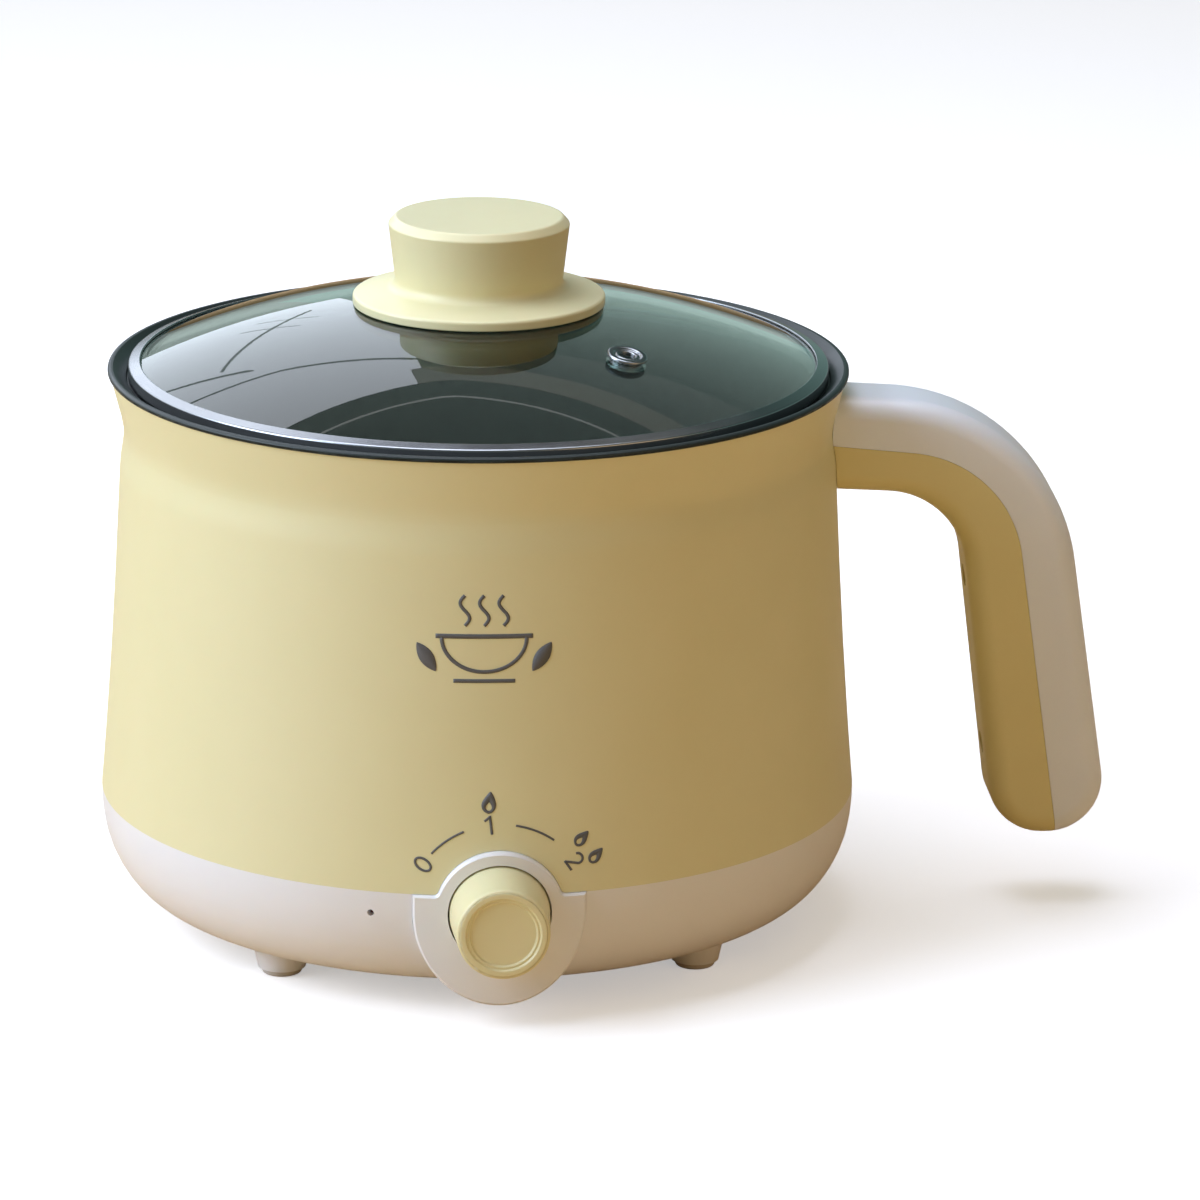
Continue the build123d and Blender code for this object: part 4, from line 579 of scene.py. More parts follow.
@dataclass
class Casing:
    """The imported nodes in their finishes, and the moulded shells that stand for five of them."""

    crease: float = 32.0    # degrees; sharper edges stay sharp when shaded
    joined: float = 0.002   # facets' corners nearer than this become one
    shells: tuple[tuple[str, str, str], ...] = (
        ("moulded_outer_shell", "outer_shell", "yellow_plastic"),
        ("moulded_base", "base_shell", "white_plastic"),
        ("moulded_dial_plate", "control_plate", "white_plastic"),
        ("grip_outer_half", "handle_outer_shell", "white_plastic"),
        ("grip_inner_half", "handle_inner_shell", "yellow_plastic"),
    )

    def build(self, pot: PotFrame) -> None:
        """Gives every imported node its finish, then shows the moulded shells.

        Args:
            pot: the frame that holds the nodes.
        """
        for name, node in pot.nodes.items():
            finish = NODE_FINISHES[name]
            for material_slot in node.material_slots:
                material_slot.material = finish.material()
            LOG.info("%s: %s", name, finish.name)
        for name, node_name, slot in self.shells:
            piece = self.merged_copy(name, pot.nodes[node_name])
            pot.finish(piece, NODE_FINISHES[node_name], Body.ROOT, slot, [node_name])

    def merged_copy(self, name: str, node: bpy.types.Object) -> bpy.types.Object:
        """Copy of a node's mesh with its facets joined and shaded across their flat edges.

        Args:
            name: the copy's name.
            node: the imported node, which stays as it is.

        Returns:
            The new object, at the origin as the node is.
        """
        mesh = node.data.copy()
        mesh.name = name
        own_normals = mesh.attributes.get("custom_normal")
        if own_normals is not None:
            mesh.attributes.remove(own_normals)
        work = bmesh.new()
        work.from_mesh(mesh)
        bmesh.ops.remove_doubles(work, verts=work.verts, dist=self.joined * MM)
        work.to_mesh(mesh)
        work.free()
        mesh.polygons.foreach_set("use_smooth", np.ones(len(mesh.polygons), bool))
        piece = bpy.data.objects.new(name, mesh)
        bpy.context.scene.collection.objects.link(piece)
        split = piece.modifiers.new("kept_edges", "EDGE_SPLIT")
        split.split_angle = math.radians(self.crease)
        split.use_edge_sharp = False
        return piece


@dataclass
class CookingPot:
    """The coated inner pot with its rolled rim."""

    wall: float = 1.6
    ledge_metal: float = 1.2
    under_z: float = 56.4
    floor_z: float = 58.0
    floor_radius: float = 86.5
    floor_round: float = 14.0
    top_radius: float = 88.5
    ledge_z: float = 149.8
    ledge_radius: float = 95.0
    flare_z: float = 150.7          # where the flare starts, inside
    flare_under_z: float = 150.4
    flare_under_radius: float = 98.3
    crest_radius: float = 98.5
    crest_z: float = 153.4
    shoulder_radius: float = 99.2   # the crest falls away to the rim from here
    shoulder_z: float = 153.1
    rim_radius: float = 100.0
    rim_z: float = 152.0

    def build(self, pot: PotFrame) -> None:
        """Turns the pot's whole wall, inside and out, about its axis.

        Args:
            pot: the frame to place it in.
        """
        outer_top = self.top_radius + self.wall
        under_ledge_z = self.ledge_z - self.ledge_metal
        collar = self.ledge_radius + self.ledge_metal
        corners = [
            (0.0, self.under_z, 0.0),
            (self.floor_radius + self.wall, self.under_z, self.floor_round + self.wall),
            (outer_top, under_ledge_z - self.ledge_metal, 0.4),
            (outer_top + self.ledge_metal, under_ledge_z, 0.3),
            (collar, under_ledge_z, 0.5),
            (collar, self.flare_under_z, 0.3),
            (self.flare_under_radius, self.rim_z, 0.3),
            (self.rim_radius, self.rim_z, 0.35),
            (self.rim_radius, self.shoulder_z, 0.6),
            (self.shoulder_radius, self.crest_z, 0.35),
            (self.crest_radius, self.crest_z, 0.5),
            (self.ledge_radius, self.flare_z, 0.5),
            (self.ledge_radius, self.ledge_z, 0.3),
            (outer_top, self.ledge_z, 0.8),
            (self.top_radius, self.ledge_z - self.wall, 0.8),
            (self.floor_radius, self.floor_z, self.floor_round),
            (0.0, self.floor_z, 0.0),
        ]
        piece = turned("coated_pot", rounded(corners, 9), pot, 320)
        pot.finish(piece, NONSTICK, Body.ROOT, "nonstick_aluminium", ["inner_pot"])


@dataclass
class Lid:
    """Domed glass in a steel rim, with a steam vent and a knob."""

    ledge_z: float = 149.8
    band_radius: float = 94.5
    band_metal: float = 0.7
    band_gap: float = 0.1       # between the band and the glass
    lip_radius: float = 91.2
    sole_radius: float = 90.4
    edge_radius: float = 93.7
    edge_height: float = 3.45
    ground_edge: float = 0.3
    crown_z: float = 172.4
    thickness: float = 4.0
    hole_radius: float = 3.5
    vent_distance: float = 57.0
    vent_bearing: float = -50.0
    vent_bore: float = 2.1
    vent_barrel: float = 4.2
    vent_flange: float = 5.35
    vent_back: float = 4.1      # how deep the flange under the glass starts
    vent_foot: float = 5.1
    gasket: float = 1.2
    knob_gap: float = 0.3       # under the knob's flange
    flange_radius: float = 34.0
    flange_edge: float = 2.6
    pocket_radius: float = 30.5
    hollow_radius: float = 19.4
    boss_radius: float = 6.0
    waist_radius: float = 22.4
    waist_height: float = 4.8
    head_radius: float = 24.4
    head_drop: float = 2.0      # the widest place of the head, below its flat top
    flat_radius: float = 22.6
    knob_height: float = 23.9
    knob_roof: float = 3.0
    dome_radius: float = field(init=False)

    def __post_init__(self) -> None:
        """Finds the dome's radius from its rise and its half width."""
        rise = self.crown_z - self.ledge_z - self.edge_height
        self.dome_radius = (self.edge_radius**2 + rise**2) / (2 * rise)

    def dome_z(self, radius: Array | float, depth: float = 0.0) -> Array:
        """Finds the dome's height: its centre's height plus the root of R squared less r squared.

        Args:
            radius: distance from the axis.
            depth: how far below the outer face, or above it where it is negative.

        Returns:
            The height at each radius.
        """
        centre_z = self.crown_z - self.dome_radius
        return centre_z + np.sqrt((self.dome_radius - depth) ** 2 - np.asarray(radius) ** 2)

    def build(self, pot: PotFrame) -> None:
        """Builds the lid's four visible pieces.

        Args:
            pot: the frame to place them in.
        """
        self.glass(pot)
        self.band(pot)
        self.vent(pot)
        self.knob(pot)

    def glass(self, pot: PotFrame) -> None:
        """Two nested spherical faces joined by a ground edge and the screw's bore.

        Args:
            pot: the frame to place it in.
        """
        flat_z = self.ledge_z + self.band_metal
        inner_dome = self.dome_radius - self.thickness
        below = flat_z - self.crown_z + self.dome_radius
        flat_radius = math.sqrt(inner_dome**2 - below**2)
        inner_r = np.linspace(self.hole_radius, flat_radius, 60)
        outer_r = np.linspace(self.edge_radius - self.ground_edge, self.hole_radius, 60)
        inner = np.stack([inner_r, self.dome_z(inner_r, self.thickness)], axis=1)
        outer = np.stack([outer_r, self.dome_z(outer_r)], axis=1)
        edge_z = self.dome_z(self.edge_radius) - self.ground_edge
        rim = np.array([[self.edge_radius, flat_z], [self.edge_radius, edge_z]])
        piece = turned("lid_glass_dome", np.vstack([inner, rim, outer]), pot, 320)
        pot.finish(piece, LID_GLASS, Body.LID, "lid_glass", ["lid_glass"])

    def band(self, pot: PotFrame) -> None:
        """Pressed strip: a C section folded over and under the edge of the glass.

        Args:
            pot: the frame to place it in.
        """
        metal, seat = self.band_metal, self.edge_radius + self.band_gap
        top = self.dome_z(self.edge_radius) + self.band_gap
        lip = self.dome_z(self.lip_radius) + self.band_gap
        start_z = self.ledge_z + metal / 2      # the outline's two ends meet here
        corners = [
            (self.sole_radius, start_z, 0.0),
            (self.sole_radius, self.ledge_z, 0.2),
            (self.band_radius, self.ledge_z, 0.5),
            (self.band_radius, top + metal, 0.6),
            (self.lip_radius, lip + metal, 0.3),
            (self.lip_radius, lip, 0.1),
            (seat, top, 0.1),
            (seat, self.ledge_z + metal, 0.1),
            (self.sole_radius, self.ledge_z + metal, 0.1),
            (self.sole_radius, start_z + 0.05, 0.0),
        ]
        piece = turned("lid_steel_rim", rounded(corners, 6), pot, 320)
        pot.finish(piece, BAND_STEEL, Body.LID, "stainless_steel", ["lid_rim_band"])

    def vent(self, pot: PotFrame) -> None:
        """Riveted eyelet: a rolled flange round a through bore, square to the glass.

        Its heights are measured from the outer face of the glass.

        Args:
            pot: the frame to place it in.
        """
        bore, flange, top = self.vent_bore, self.vent_flange, 1.0
        corners = [
            (bore, -2.0, 0.0),
            (bore, -self.vent_foot, 0.4),
            (flange, -self.vent_foot, 0.45),
            (flange, -self.vent_back, 0.3),
            (self.vent_barrel, -self.vent_back, 0.1),
            (self.vent_barrel, 0.0, 0.1),
            (flange, 0.0, 0.2),
            (flange, top, 0.55),
            (3.9, top, 0.5),
            (3.3, 0.4, 0.3),        # the groove inside the rolled flange
            (2.9, 0.8, 0.3),
            (bore, 0.6, 0.3),
            (bore, -1.95, 0.0),
        ]
        slope = math.asin(self.vent_distance / self.dome_radius)
        bearing = math.radians(self.vent_bearing)
        out = Vector((math.cos(bearing), math.sin(bearing), 0.0))
        where = out * self.vent_distance + Vector((0, 0, float(self.dome_z(self.vent_distance))))
        normal = out * math.sin(slope) + Vector((0, 0, math.cos(slope)))
        place = Matrix.Translation(where) @ normal.to_track_quat("Z", "Y").to_matrix().to_4x4()
        piece = turned("steam_vent_ring", rounded(corners, 6), pot, 96, place)
        pot.finish(piece, BAND_STEEL, Body.LID, "stainless_steel", ["steam_vent_eyelet"])

    def knob(self, pot: PotFrame) -> None:
        """Wide foot flange, waisted stem and flat top, hollow underneath round its boss.

        Args:
            pot: the frame to place it in.
        """
        under = float(self.dome_z(self.flange_radius)) + self.knob_gap
        top_z = under + self.knob_height
        roof_z = top_z - self.knob_roof
        boss_z, hollow_z, pocket_z = (
            float(self.dome_z(radius, -self.gasket))
            for radius in (0.0, self.hollow_radius, self.pocket_radius)
        )
        corners = [
            (0.0, boss_z, 0.0),
            (self.boss_radius, boss_z, 0.2),
            (self.boss_radius, roof_z, 0.5),
            (self.hollow_radius, roof_z, 0.8),
            (self.hollow_radius, hollow_z, 0.3),
            (self.pocket_radius, pocket_z, 0.2),
            (self.pocket_radius, float(self.dome_z(self.pocket_radius, -self.knob_gap)), 0.2),
            (self.flange_radius, under, 0.3),
            (self.flange_radius, under + self.flange_edge, 0.95),
            (self.waist_radius, under + self.waist_height, 2.6),
            (self.head_radius, top_z - self.head_drop, 0.8),
            (self.flat_radius, top_z, 1.3),
            (0.0, top_z, 0.0),
        ]
        piece = turned("lid_knob_turned", rounded(corners, 9), pot, 192)
        pot.finish(piece, KNOB_PP, Body.LID, "yellow_plastic", ["lid_knob"])


@dataclass
class Dial:
    """The heat dial: a tapered knob with a dished face inside a raised ring."""

    axis_z: float = 31.4
    face_y: float = -120.0
    back_y: float = -100.2
    base_radius: float = 13.3
    face_radius: float = 12.1
    shaft_radius: float = 3.05
    shaft_hole: float = 10.0
    boss_radius: float = 5.2
    hollow_radius: float = 9.7
    face_metal: float = 3.1
    crest_radius: float = 11.0
    dish_radius: float = 8.5
    dish_depth: float = 1.0

    def build(self, pot: PotFrame) -> None:
        """Turns the dial about the axis that runs from front to back.

        Args:
            pot: the frame to place it in.
        """
        depth = self.back_y - self.face_y
        corners = [
            (0.0, depth - self.shaft_hole, 0.0),
            (self.shaft_radius, depth - self.shaft_hole, 0.1),
            (self.shaft_radius, depth, 0.2),
            (self.boss_radius, depth, 0.3),
            (self.boss_radius, self.face_metal, 0.5),
            (self.hollow_radius, self.face_metal, 0.8),
            (self.hollow_radius, depth, 0.3),
            (self.base_radius, depth, 0.4),
            (self.face_radius, 0.35, 0.9),
            (self.crest_radius, 0.0, 1.6),
            (9.9, 0.0, 0.3),
            (9.5, 0.55, 0.25),      # the groove, then the thin ring inside it
            (8.9, 0.45, 0.25),
            (self.dish_radius, self.dish_depth, 0.3),
            (0.0, self.dish_depth + 0.25, 0.0),
        ]
        line = rounded(corners, 9)
        line[:, 1] = -line[:, 1]
        forwards = Matrix.Rotation(math.radians(90), 4, "X")
        place = Matrix.Translation((0.0, self.face_y, self.axis_z)) @ forwards
        piece = turned("heat_dial", line, pot, 160, place)
        pot.finish(piece, KNOB_PP, Body.DIAL, "yellow_plastic", ["control_dial"])


@dataclass
class RubberFeet:
    """Four pads with rounded edges that stand on the table, each with a plug in the base."""

    distance: float = 78.5
    radius: float = 5.4
    height: float = 3.0
    plug_radius: float = 2.0
    plug_height: float = 3.0

    def build(self, pot: PotFrame) -> None:
        """Turns one pad's outline at each of the four corners.

        Args:
            pot: the frame to place them in.
        """
        top = self.height + self.plug_height
        corners = [
            (0.0, 0.0, 0.0),
            (self.radius, 0.0, 0.9),
            (self.radius, self.height, 0.2),
            (self.plug_radius, self.height, 0.1),
            (self.plug_radius, top, 0.3),
            (0.0, top, 0.0),
        ]
        line = rounded(corners, 7)
        for number, bearing in enumerate((45, 135, 225, 315), 1):
            turn = math.radians(bearing)
            where = (self.distance * math.cos(turn), self.distance * math.sin(turn), 0.0)
            piece = turned(f"foot_pad_{number}", line, pot, 64, Matrix.Translation(where))
            pot.finish(piece, PAD_RUBBER, Body.ROOT, "foot_rubber", ["foot_pads"])


@dataclass
class Printing:
    """Pad-printed marks on the front of the shell: the heat scale and a plain pictogram."""

    dial_z: float = 31.4
    scale_radius: float = 24.0
    off_bearing: float = -56.8
    low_bearing: float = -6.5
    high_bearing: float = 55.5
    arcs: tuple[tuple[str, float, float], ...] = (
        ("scale_arc_low", -48.0, -23.0),
        ("scale_arc_high", 10.0, 36.3),
    )
    arc_width: float = 0.55
    digit_width: float = 0.65
    # name, distance beyond the scale, bearing, size and lean
    flames: tuple[tuple[str, float, float, float, float], ...] = (
        ("flame_low", 6.0, -5.5, 1.0, 0.0),
        ("flame_high_left", 5.0, 48.0, 0.85, 38.0),
        ("flame_high_right", 5.3, 60.3, 0.85, 38.0),
    )
    bowl_spot: tuple[float, float] = (-4.0, 105.0)
    bowl_size: tuple[float, float] = (11.0, 9.0)
    line_width: float = 1.0
    low_z: float = 36.4         # the shell is printed between these heights
    high_z: float = 126.0
    rough_radii: tuple[float, float, float] = (103.0, 99.5, 97.0)
    lift: float = 0.12
    thickness: float = 0.05
    profile: Callable[[Array], Array] = field(init=False)

    def build(self, pot: PotFrame) -> None:
        """Fits the shell's outline, then lays every mark on it.

        Args:
            pot: the frame to place them in.
        """
        self.profile = self.shell_outline(pot)
        for piece in self.heat_scale(pot) + self.pictogram(pot):
            pot.finish(piece, PAD_INK, Body.ROOT, "black_plastic")

    def shell_outline(self, pot: PotFrame) -> Callable[[Array], Array]:
        """Fits radius against height with a fifth-power curve through the shell's outer points.

        The outer points are those within a millimetre of a curve through three known
        radii, at the lowest, the middle and the highest height.

        Args:
            pot: the frame that holds the shell.

        Returns:
            The curve, which takes heights and gives radii.
        """
        spot = pot.own("outer_shell")
        radius, height = np.hypot(spot[:, 0], spot[:, 1]), spot[:, 2]
        levels = (self.low_z, (self.low_z + self.high_z) / 2, self.high_z)
        rough = np.polynomial.Polynomial.fit(levels, self.rough_radii, 2)
        near = np.abs(radius - rough(height)) < 1.0
        outer = (height > self.low_z) & (height < self.high_z) & near
        curve = np.polynomial.Polynomial.fit(height[outer], radius[outer], 5)
        worst = np.abs(curve(height[outer]) - radius[outer]).max()
        LOG.info("shell outline from %d points, within %.3f mm", outer.sum(), worst)
        return curve

    def on_shell(self, flat: Array, lift: float) -> Array:
        """Bends flat marks round the shell: (u, z) goes to bearing u / R at radius R(z) + lift.

        Args:
            flat: u along the shell and z, one row per point.
            lift: how far they stand off the shell.

        Returns:
            x, y, z round the pot's axis.
        """
        radius = self.profile(flat[:, 1])
        bearing = flat[:, 0] / radius
        out = radius + lift
        return np.stack([out * np.sin(bearing), -out * np.cos(bearing), flat[:, 1]], axis=1)

    def mark(
        self, name: str, near: Array, far: Array, closed: bool, pot: PotFrame
    ) -> bpy.types.Object:
        """Thin closed slab of ink between two edge lines.

        Each row of the skin runs near to far on top and back underneath, so the slab is
        a closed tube, with end caps where the lines aren't loops.

        Args:
            name: the mark's name.
            near: one edge as (u, z) points.
            far: the other edge, point for point.
            closed: whether the lines are loops.
            pot: the frame to place it in.

        Returns:
            The new object.
        """
        top, under = self.lift, self.lift - self.thickness
        middle = (near + far) / 2
        lines = (
            (near, top), (middle, top), (far, top), (far, under), (middle, under), (near, under)
        )
        ring = np.stack([self.on_shell(flat, lift) for flat, lift in lines], axis=1)
        rows, across = len(near), len(lines)
        faces = grid_faces(rows, across, closed, True)
        if not closed:
            caps = np.array([[0, 1, 4, 5], [1, 2, 3, 4]])
            faces = np.vstack([faces, caps[:, ::-1], caps + (rows - 1) * across])
        return mesh_object(name, ring.reshape(-1, 3), faces, pot)

    def stroke(self, name: str, path: Array, width: float, pot: PotFrame) -> bpy.types.Object:
        """Line of even width: each edge is the path moved half the width along its normal.

        Args:
            name: the mark's name.
            path: its middle as (u, z) points.
            width: its width.
            pot: the frame to place it in.

        Returns:
            The new object.
        """
        along = np.gradient(path, axis=0)
        along = along / np.linalg.norm(along, axis=1, keepdims=True)
        across = np.stack([-along[:, 1], along[:, 0]], axis=1) * width / 2
        return self.mark(name, path + across, path - across, False, pot)

    def around(self, bearing: float, offset: Array, beyond: float = 0.0) -> Array:
        """Places a mark's own (x, y) on the scale, standing outwards from the dial.

        Args:
            bearing: place on the scale in degrees, from the top towards the right.
            offset: the mark's points, one row each.
            beyond: how far outside the scale's circle the mark's middle lies.

        Returns:
            The (u, z) points.
        """
        turn = math.radians(bearing)
        out = np.array([math.sin(turn), math.cos(turn)])
        side = np.array([math.cos(turn), -math.sin(turn)])
        base = np.array([0.0, self.dial_z]) + (self.scale_radius + beyond) * out
        return base + offset[:, :1] * side + offset[:, 1:] * out

    def heat_scale(self, pot: PotFrame) -> list[bpy.types.Object]:
        """Numbers 0, 1 and 2, two arcs between them, and one or two flames.

        Args:
            pot: the frame to place them in.

        Returns:
            The marks.
        """
        marks = [self.digit_zero(pot), *self.digit_one(pot), *self.digit_two(pot)]
        for name, start, stop in self.arcs:
            turn = np.radians(np.linspace(start, stop, 28))
            level = self.dial_z + self.scale_radius * np.cos(turn)
            path = np.stack([self.scale_radius * np.sin(turn), level], axis=1)
            marks.append(self.stroke(name, path, self.arc_width, pot))
        return marks + [self.flame(*flame, pot) for flame in self.flames]

    def digit_zero(self, pot: PotFrame) -> bpy.types.Object:
        """Ring between two ellipses.

        Args:
            pot: the frame to place it in.

        Returns:
            The new object.
        """
        turn = np.linspace(0, 2 * math.pi, 48, endpoint=False)
        ring = np.stack([np.cos(turn), np.sin(turn)], axis=1)
        half = np.array([1.75, 2.6])
        outer = self.around(self.off_bearing, ring * half)
        inner = self.around(self.off_bearing, ring * (half - self.digit_width))
        return self.mark("digit_zero", inner, outer, True, pot)

    def digit_one(self, pot: PotFrame) -> list[bpy.types.Object]:
        """Upright stroke with a short, thinner flag.

        Args:
            pot: the frame to place it in.

        Returns:
            The two strokes.
        """
        upright = np.stack([np.full(12, 0.4), np.linspace(-2.5, 2.5, 12)], axis=1)
        flag = np.stack([np.linspace(-1.15, 0.4, 8), np.linspace(1.2, 2.2, 8)], axis=1)
        return [
            self.stroke("digit_one", self.around(self.low_bearing, upright), 0.7, pot),
            self.stroke("digit_one_flag", self.around(self.low_bearing, flag), 0.6, pot),
        ]

    def digit_two(self, pot: PotFrame) -> list[bpy.types.Object]:
        """Arc of an ellipse that runs into a slanting line, over a level foot.

        Args:
            pot: the frame to place it in.

        Returns:
            The two strokes.
        """
        foot_y, width = -2.2, self.digit_width
        turn = np.radians(np.linspace(165, -35, 26))
        bow = np.stack([1.35 * np.cos(turn), 0.95 + 1.25 * np.sin(turn)], axis=1)
        slant = np.linspace(bow[-1], (-1.35, foot_y), 12)
        body = np.vstack([bow, slant[1:]])
        foot = np.stack([np.linspace(-1.6, 1.6, 8), np.full(8, foot_y)], axis=1)
        return [
            self.stroke("digit_two", self.around(self.high_bearing, body), width, pot),
            self.stroke("digit_two_foot", self.around(self.high_bearing, foot), width, pot),
        ]

    def flame(
        self, name: str, beyond: float, bearing: float, size: float, lean: float, pot: PotFrame
    ) -> bpy.types.Object:
        """Flame with a drop left open: a closed curve that swells below and draws to a tip.

        At turn t its height is -cos t and its width sin t, times 1 less 0.42 of the height,
        times 1 less a quarter of the height squared.  The pull to one side is the square
        of the height above the foot times a sine of the height.  The drop inside is the
        same curve, smaller and lower.

        Args:
            name: the mark's name.
            beyond: how far outside the scale's circle it stands.
            bearing: its place on the scale, in degrees.
            size: times its full size.
            lean: how far it leans from upright, in degrees.
            pot: the frame to place it in.

        Returns:
            The new object.
        """
        turn = np.linspace(0, 2 * math.pi, 56, endpoint=False)
        rise = -np.cos(turn)
        width = np.sin(turn) * (1 - 0.42 * rise) * (1 - 0.25 * rise**2)
        pull = 0.28 * (rise + 1) ** 2 * np.sin(1.4 * rise + 0.4)
        shape = np.stack([1.8 * width + 0.42 * pull, 2.9 * rise], axis=1) * size
        drop = np.stack([0.75 * width + 0.12 * pull, 1.15 * rise - 1.0], axis=1) * size
        upright = math.radians(lean - bearing)
        c, s = math.cos(upright), math.sin(upright)
        spin = np.array([[c, s], [-s, c]])
        outer = self.around(bearing, shape @ spin.T, beyond)
        inner = self.around(bearing, drop @ spin.T, beyond)
        return self.mark(name, outer, inner, True, pot)

    def pictogram(self, pot: PotFrame) -> list[bpy.types.Object]:
        """A steaming bowl on a plate line, between two leaves: plain kitchen line work.

        The bowl is half an ellipse, each wisp of steam one wave of a sine, and a leaf
        swells by the sine of its length to the power 0.8.

        Args:
            pot: the frame to place it in.

        Returns:
            The marks.
        """
        centre, line = np.array(self.bowl_spot), self.line_width
        turn = np.linspace(math.pi, 2 * math.pi, 48)
        bowl = np.stack([np.cos(turn), np.sin(turn)], axis=1) * self.bowl_size
        lip = np.stack([np.linspace(-12.6, 12.6, 40), np.full(40, 0.4)], axis=1)
        plate = np.stack([np.linspace(-8.0, 8.0, 30), np.full(30, -11.4)], axis=1)
        pieces = [
            self.stroke("bowl_line", centre + bowl, line, pot),
            self.stroke("bowl_lip", centre + lip, 1.2 * line, pot),
            self.stroke("plate_line", centre + plate, line, pot),
        ]
        share = np.linspace(0, 1, 30)
        for number, start in enumerate((-5.0, 0.0, 5.0), 1):
            wave = np.stack([start + 1.2 * np.sin(share * 2 * math.pi), 3.2 + 8.0 * share], axis=1)
            pieces.append(self.stroke(f"steam_line_{number}", centre + wave, 0.9 * line, pot))
        for number, side in enumerate((-1, 1), 1):
            spine = np.stack([side * (12.5 + 5.0 * share), -9.0 + 7.5 * share], axis=1)
            swell = 1.9 * np.sin(math.pi * share) ** 0.8
            across = np.array([-0.83 * side, 0.55]) * swell[:, None] * side
            upper, lower = centre + spine + across, centre + spine - across
            pieces.append(self.mark(f"leaf_{number}", upper, lower, False, pot))
        return pieces


# ------------------------------------------------------------------ studio
#
# Lengths in the studio are metres.


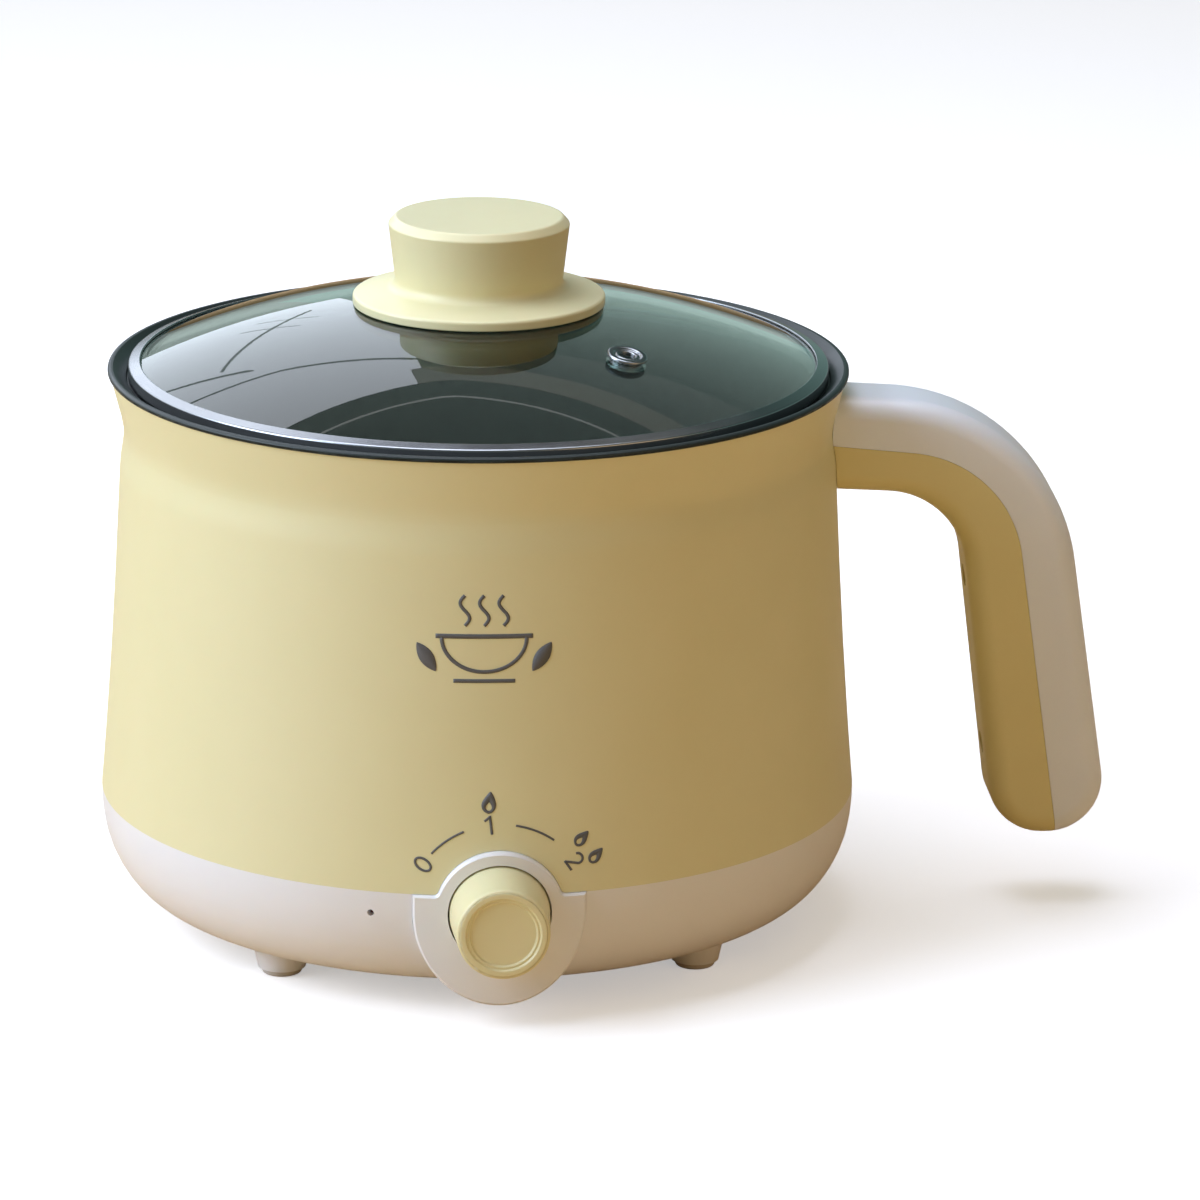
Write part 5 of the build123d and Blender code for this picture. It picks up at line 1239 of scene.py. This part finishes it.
@dataclass
class Studio:
    """Pale floor, white room, soft light from the upper left, and the camera."""

    distance: float = 1.800
    elevation: float = 0.283692
    yaw: float = 0.019262
    roll: float = 0.0083708
    turn: float = math.radians(3.3)
    aim_z: float = 0.08679
    focal_share: float = 6594.1 / 1200      # focal length over the picture's width
    sensor_width: float = 36.0
    floor_half: float = 6.0
    floor_glow: float = 0.42    # to the camera alone, so that the floor reads as white
    room_light: float = 0.15
    lamp_aim_z: float = 0.09
    # name, place from the pot's axis, size, power and colour
    lamps: tuple[tuple[str, tuple[float, float, float], float, float, str], ...] = (
        ("softbox_left", (-1.48, -0.36, 0.92), 1.25, 33.5, "#d9e8ff"),
        ("softbox_top", (-0.25, 0.15, 1.70), 1.2, 20.5, "#e4eaff"),
        ("fill_right", (1.20, -1.30, 0.40), 1.2, 4.9, "#ffcf98"),
    )

    def build(self, pot: PotFrame) -> None:
        """Sets the view, the floor, the lights and the camera.

        Args:
            pot: the frame whose axis they stand round.
        """
        bpy.context.scene.view_settings.view_transform = "Standard"
        self.floor()
        self.world()
        self.lights(pot)
        self.camera(pot)

    def floor(self) -> None:
        """Level sheet that the camera sees pale and the object sees as a warm worktop."""
        half = self.floor_half
        corner = np.array([[-half, -half, 0], [half, -half, 0], [half, half, 0], [-half, half, 0]])
        made = mesh_object("studio_floor", corner, np.array([[0, 1, 2, 3]]))
        paint = bpy.data.materials.new("matt_paper")
        tree = cleared_tree(paint)
        path = add_node(tree, "LightPath")
        pale = add_node(tree, "BsdfDiffuse", inputs={"Color": linear("#fbfbfb")})
        glow = add_node(
            tree, "Emission", inputs={"Color": linear("#ffffff"), "Strength": self.floor_glow}
        )
        seen = add_node(tree, "AddShader", inputs={0: pale.outputs[0], 1: glow.outputs[0]})
        warm = add_node(tree, "BsdfDiffuse", inputs={"Color": linear("#d8b98e")})
        either = add_node(
            tree,
            "MixShader",
            inputs={0: path.outputs["Is Camera Ray"], 1: warm.outputs[0], 2: seen.outputs[0]},
        )
        add_node(tree, "OutputMaterial", inputs={"Surface": either.outputs[0]})
        made.data.materials.append(paint)

    def world(self) -> None:
        """White to the camera and in glass and metal, and a soft warm room as light."""
        world = bpy.data.worlds.new("studio_room")
        bpy.context.scene.world = world
        tree = cleared_tree(world)
        path = add_node(tree, "LightPath")
        seen = path.outputs["Is Camera Ray"]
        for ray in ("Is Glossy Ray", "Is Transmission Ray"):
            either = add_node(
                tree, "Math", {"operation": "MAXIMUM"}, {0: seen, 1: path.outputs[ray]}
            )
            seen = either.outputs[0]
        white = add_node(tree, "Background", inputs={"Color": linear("#ffffff"), "Strength": 1.0})
        room = add_node(
            tree, "Background", inputs={"Color": linear("#fff3cb"), "Strength": self.room_light}
        )
        both = add_node(
            tree, "MixShader", inputs={0: seen, 1: room.outputs[0], 2: white.outputs[0]}
        )
        add_node(tree, "OutputWorld", inputs={"Surface": both.outputs[0]})

    def lights(self, pot: PotFrame) -> None:
        """A large softbox at the upper left, a weaker one above, and a low warm fill.

        Args:
            pot: the frame whose axis they aim at.
        """
        for name, where, size, power, colour in self.lamps:
            lamp = bpy.data.lights.new(name, "AREA")
            lamp.shape, lamp.size, lamp.energy = "SQUARE", size, power
            lamp.color = linear(colour)[:3]
            holder = bpy.data.objects.new(name, lamp)
            bpy.context.scene.collection.objects.link(holder)
            holder.location = pot.axis + Vector(where)
            aim = pot.axis + Vector((0, 0, self.lamp_aim_z)) - holder.location
            holder.rotation_euler = aim.to_track_quat("-Z", "Y").to_euler()

    def camera(self, pot: PotFrame) -> None:
        """Stands the camera off along its elevation and turns it by its yaw and roll.

        Args:
            pot: the frame whose axis it looks at.
        """
        e, y, r = self.elevation, self.yaw, self.roll
        where = np.array([0.0, -math.cos(e), math.sin(e)]) * self.distance
        ahead = np.array([math.sin(y) * math.cos(e), math.cos(y) * math.cos(e), -math.sin(e)])
        side = np.cross(ahead, [0, 0, 1])
        side = side / np.linalg.norm(side)
        up = np.cross(side, ahead)
        rolled = math.cos(r) * side + math.sin(r) * up
        upright = -math.sin(r) * side + math.cos(r) * up
        c, s = math.cos(self.turn), math.sin(self.turn)
        spin = np.array([[c, s, 0], [-s, c, 0], [0, 0, 1]])
        lens = bpy.data.cameras.new("view")
        lens.sensor_fit, lens.sensor_width = "HORIZONTAL", self.sensor_width
        lens.lens = self.focal_share * lens.sensor_width
        lens.clip_start, lens.clip_end = 0.05, 50.0
        holder = bpy.data.objects.new("view", lens)
        bpy.context.scene.collection.objects.link(holder)
        columns = np.stack([spin @ rolled, spin @ upright, spin @ -ahead], axis=1)
        matrix = Matrix(columns.tolist()).to_4x4()
        matrix.translation = pot.axis + Vector((0, 0, self.aim_z)) + Vector((spin @ where).tolist())
        holder.matrix_world = matrix
        bpy.context.scene.camera = holder


@dataclass
class ReflectionCards:
    """Cards round the studio that only mirrors see: they give glass and steel their shapes.

    A place on a card is an azimuth, counted from the back of the pot towards its
    handle, and an elevation, both in degrees as seen from the lid.
    """

    centre_z: float = 0.16
    reach: float = 5.0
    layer_gap: float = 0.1
    rows: int = 12
    columns: int = 60
    bars: tuple[tuple[tuple[float, float], tuple[float, float], float], ...] = (
        ((-30, 12), (-13, 30), 0.9),
        ((-14, 27), (-4, 13), 0.5),
        ((-12, 33), (-2, 38), 0.6),
        ((-24, 31), (-12, 33), 0.5),
        ((-8, 15), (-6, 19), 0.35),
        ((-6.5, 13), (-4.5, 17), 0.3),
    )

    def build(self, pot: PotFrame) -> None:
        """Hangs the walls, the window with its bars, the ceiling and the light above it.

        Args:
            pot: the frame whose axis they stand round.
        """
        around = np.linspace(-180, 180, 2 * self.columns + 1)
        right = np.linspace(-3, 120, self.columns)
        left = np.linspace(-115, -2, self.columns)
        front = np.linspace(-60, 60, self.columns)
        climb = 0.2 * np.maximum(front, 0) - 0.16 * np.minimum(front, 0)
        beside = front > -4     # the ceiling's edge ends where the window begins
        edge = 44.5 + climb
        self.card(pot, "wall", around, -4, 62, 0, "#8f9a98", "#2c3836")
        self.card(pot, "wall_right", right, 3, 36, 1, "#9dc7bf", "#36504c", 0.75)
        self.card(pot, "window", left, 9, 48, 2, "#ccd4e2", "#dfe4f0", 3.2)
        self.card(pot, "ceiling", front, edge, 61 + climb, 3, "#0c0e0f", "#0c0e0f")
        self.card(
            pot, "ceiling_edge", front[beside], 40.4 + climb[beside], edge[beside], 3, "#9c968c",
            "#aaa498",
        )
        self.card(
            pot, "ceiling_line", front, 48.6 + climb, 49 + climb, 4, "#ffffff", "#ffffff", 1.1
        )
        self.card(pot, "light_above", around, 60.5, 89.9, 5, "#ffffff", "#ffffff")
        for number, (start, stop, width) in enumerate(self.bars, 1):
            line = np.linspace(start, stop, 24)
            low = line[:, 1] - width / 2
            self.card(
                pot, f"window_bar_{number}", line[:, 0], low, low + width, 4, "#8a919a", "#8a919a"
            )

    def card(
        self, pot: PotFrame, name: str, azimuth: Array, low: Array | float, high: Array | float,
        layer: int, low_colour: str, high_colour: str, strength: float = 1.0,
    ) -> None:
        """Strip of a sphere between two lines: (sin a cos e, cos a cos e, sin e) times its radius.

        Args:
            pot: the frame whose axis the sphere stands round.
            name: the card's name.
            azimuth: azimuth of each column, in degrees.
            low: elevation of the lower edge, or of it at each column, in degrees.
            high: elevation of the upper edge.
            layer: how far the card hangs in front of the others.
            low_colour: the light at its lower edge, as a hex colour.
            high_colour: the light at its upper edge.
            strength: times those colours.
        """
        share = np.linspace(0, 1, self.rows)[:, None]
        raised = np.radians(low + share * (high - low))
        turn, rise = np.broadcast_arrays(np.radians(azimuth), raised)
        level = np.cos(rise)
        way = np.stack([np.sin(turn) * level, np.cos(turn) * level, np.sin(rise)], axis=-1)
        middle = np.array([pot.axis.x, pot.axis.y, self.centre_z])
        points = way.reshape(-1, 3) * (self.reach - self.layer_gap * layer) + middle
        made = mesh_object(name, points, grid_faces(self.rows, len(azimuth), False, False))
        height = made.data.attributes.new("height", "FLOAT", "POINT")
        height.data.foreach_set("value", np.repeat(share, len(azimuth)).astype(np.float32))
        paper = bpy.data.materials.new(name + "_paper")
        tree = cleared_tree(paper)
        place = add_node(tree, "Attribute", {"attribute_name": "height"})
        shade = add_node(
            tree,
            "Mix",
            {"data_type": "RGBA"},
            {"Factor": place.outputs["Fac"], "A": linear(low_colour), "B": linear(high_colour)},
        )
        glow = add_node(
            tree, "Emission", inputs={"Color": shade.outputs["Result"], "Strength": strength}
        )
        add_node(tree, "OutputMaterial", inputs={"Surface": glow.outputs[0]})
        made.data.materials.append(paper)
        for ray in ("camera", "diffuse", "transmission", "volume_scatter", "shadow"):
            setattr(made, "visible_" + ray, False)


def main() -> None:
    """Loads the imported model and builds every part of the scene."""
    logging.basicConfig(level=logging.INFO, format="%(name)s: %(message)s")
    for old in list(bpy.data.objects):
        bpy.data.objects.remove(old)
    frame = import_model()
    pot = PotFrame(frame["nodes"])
    Casing().build(pot)
    CookingPot().build(pot)
    Lid().build(pot)
    Dial().build(pot)
    RubberFeet().build(pot)
    Printing().build(pot)
    Studio().build(pot)
    ReflectionCards().build(pot)


if __name__ == "__main__":
    main()
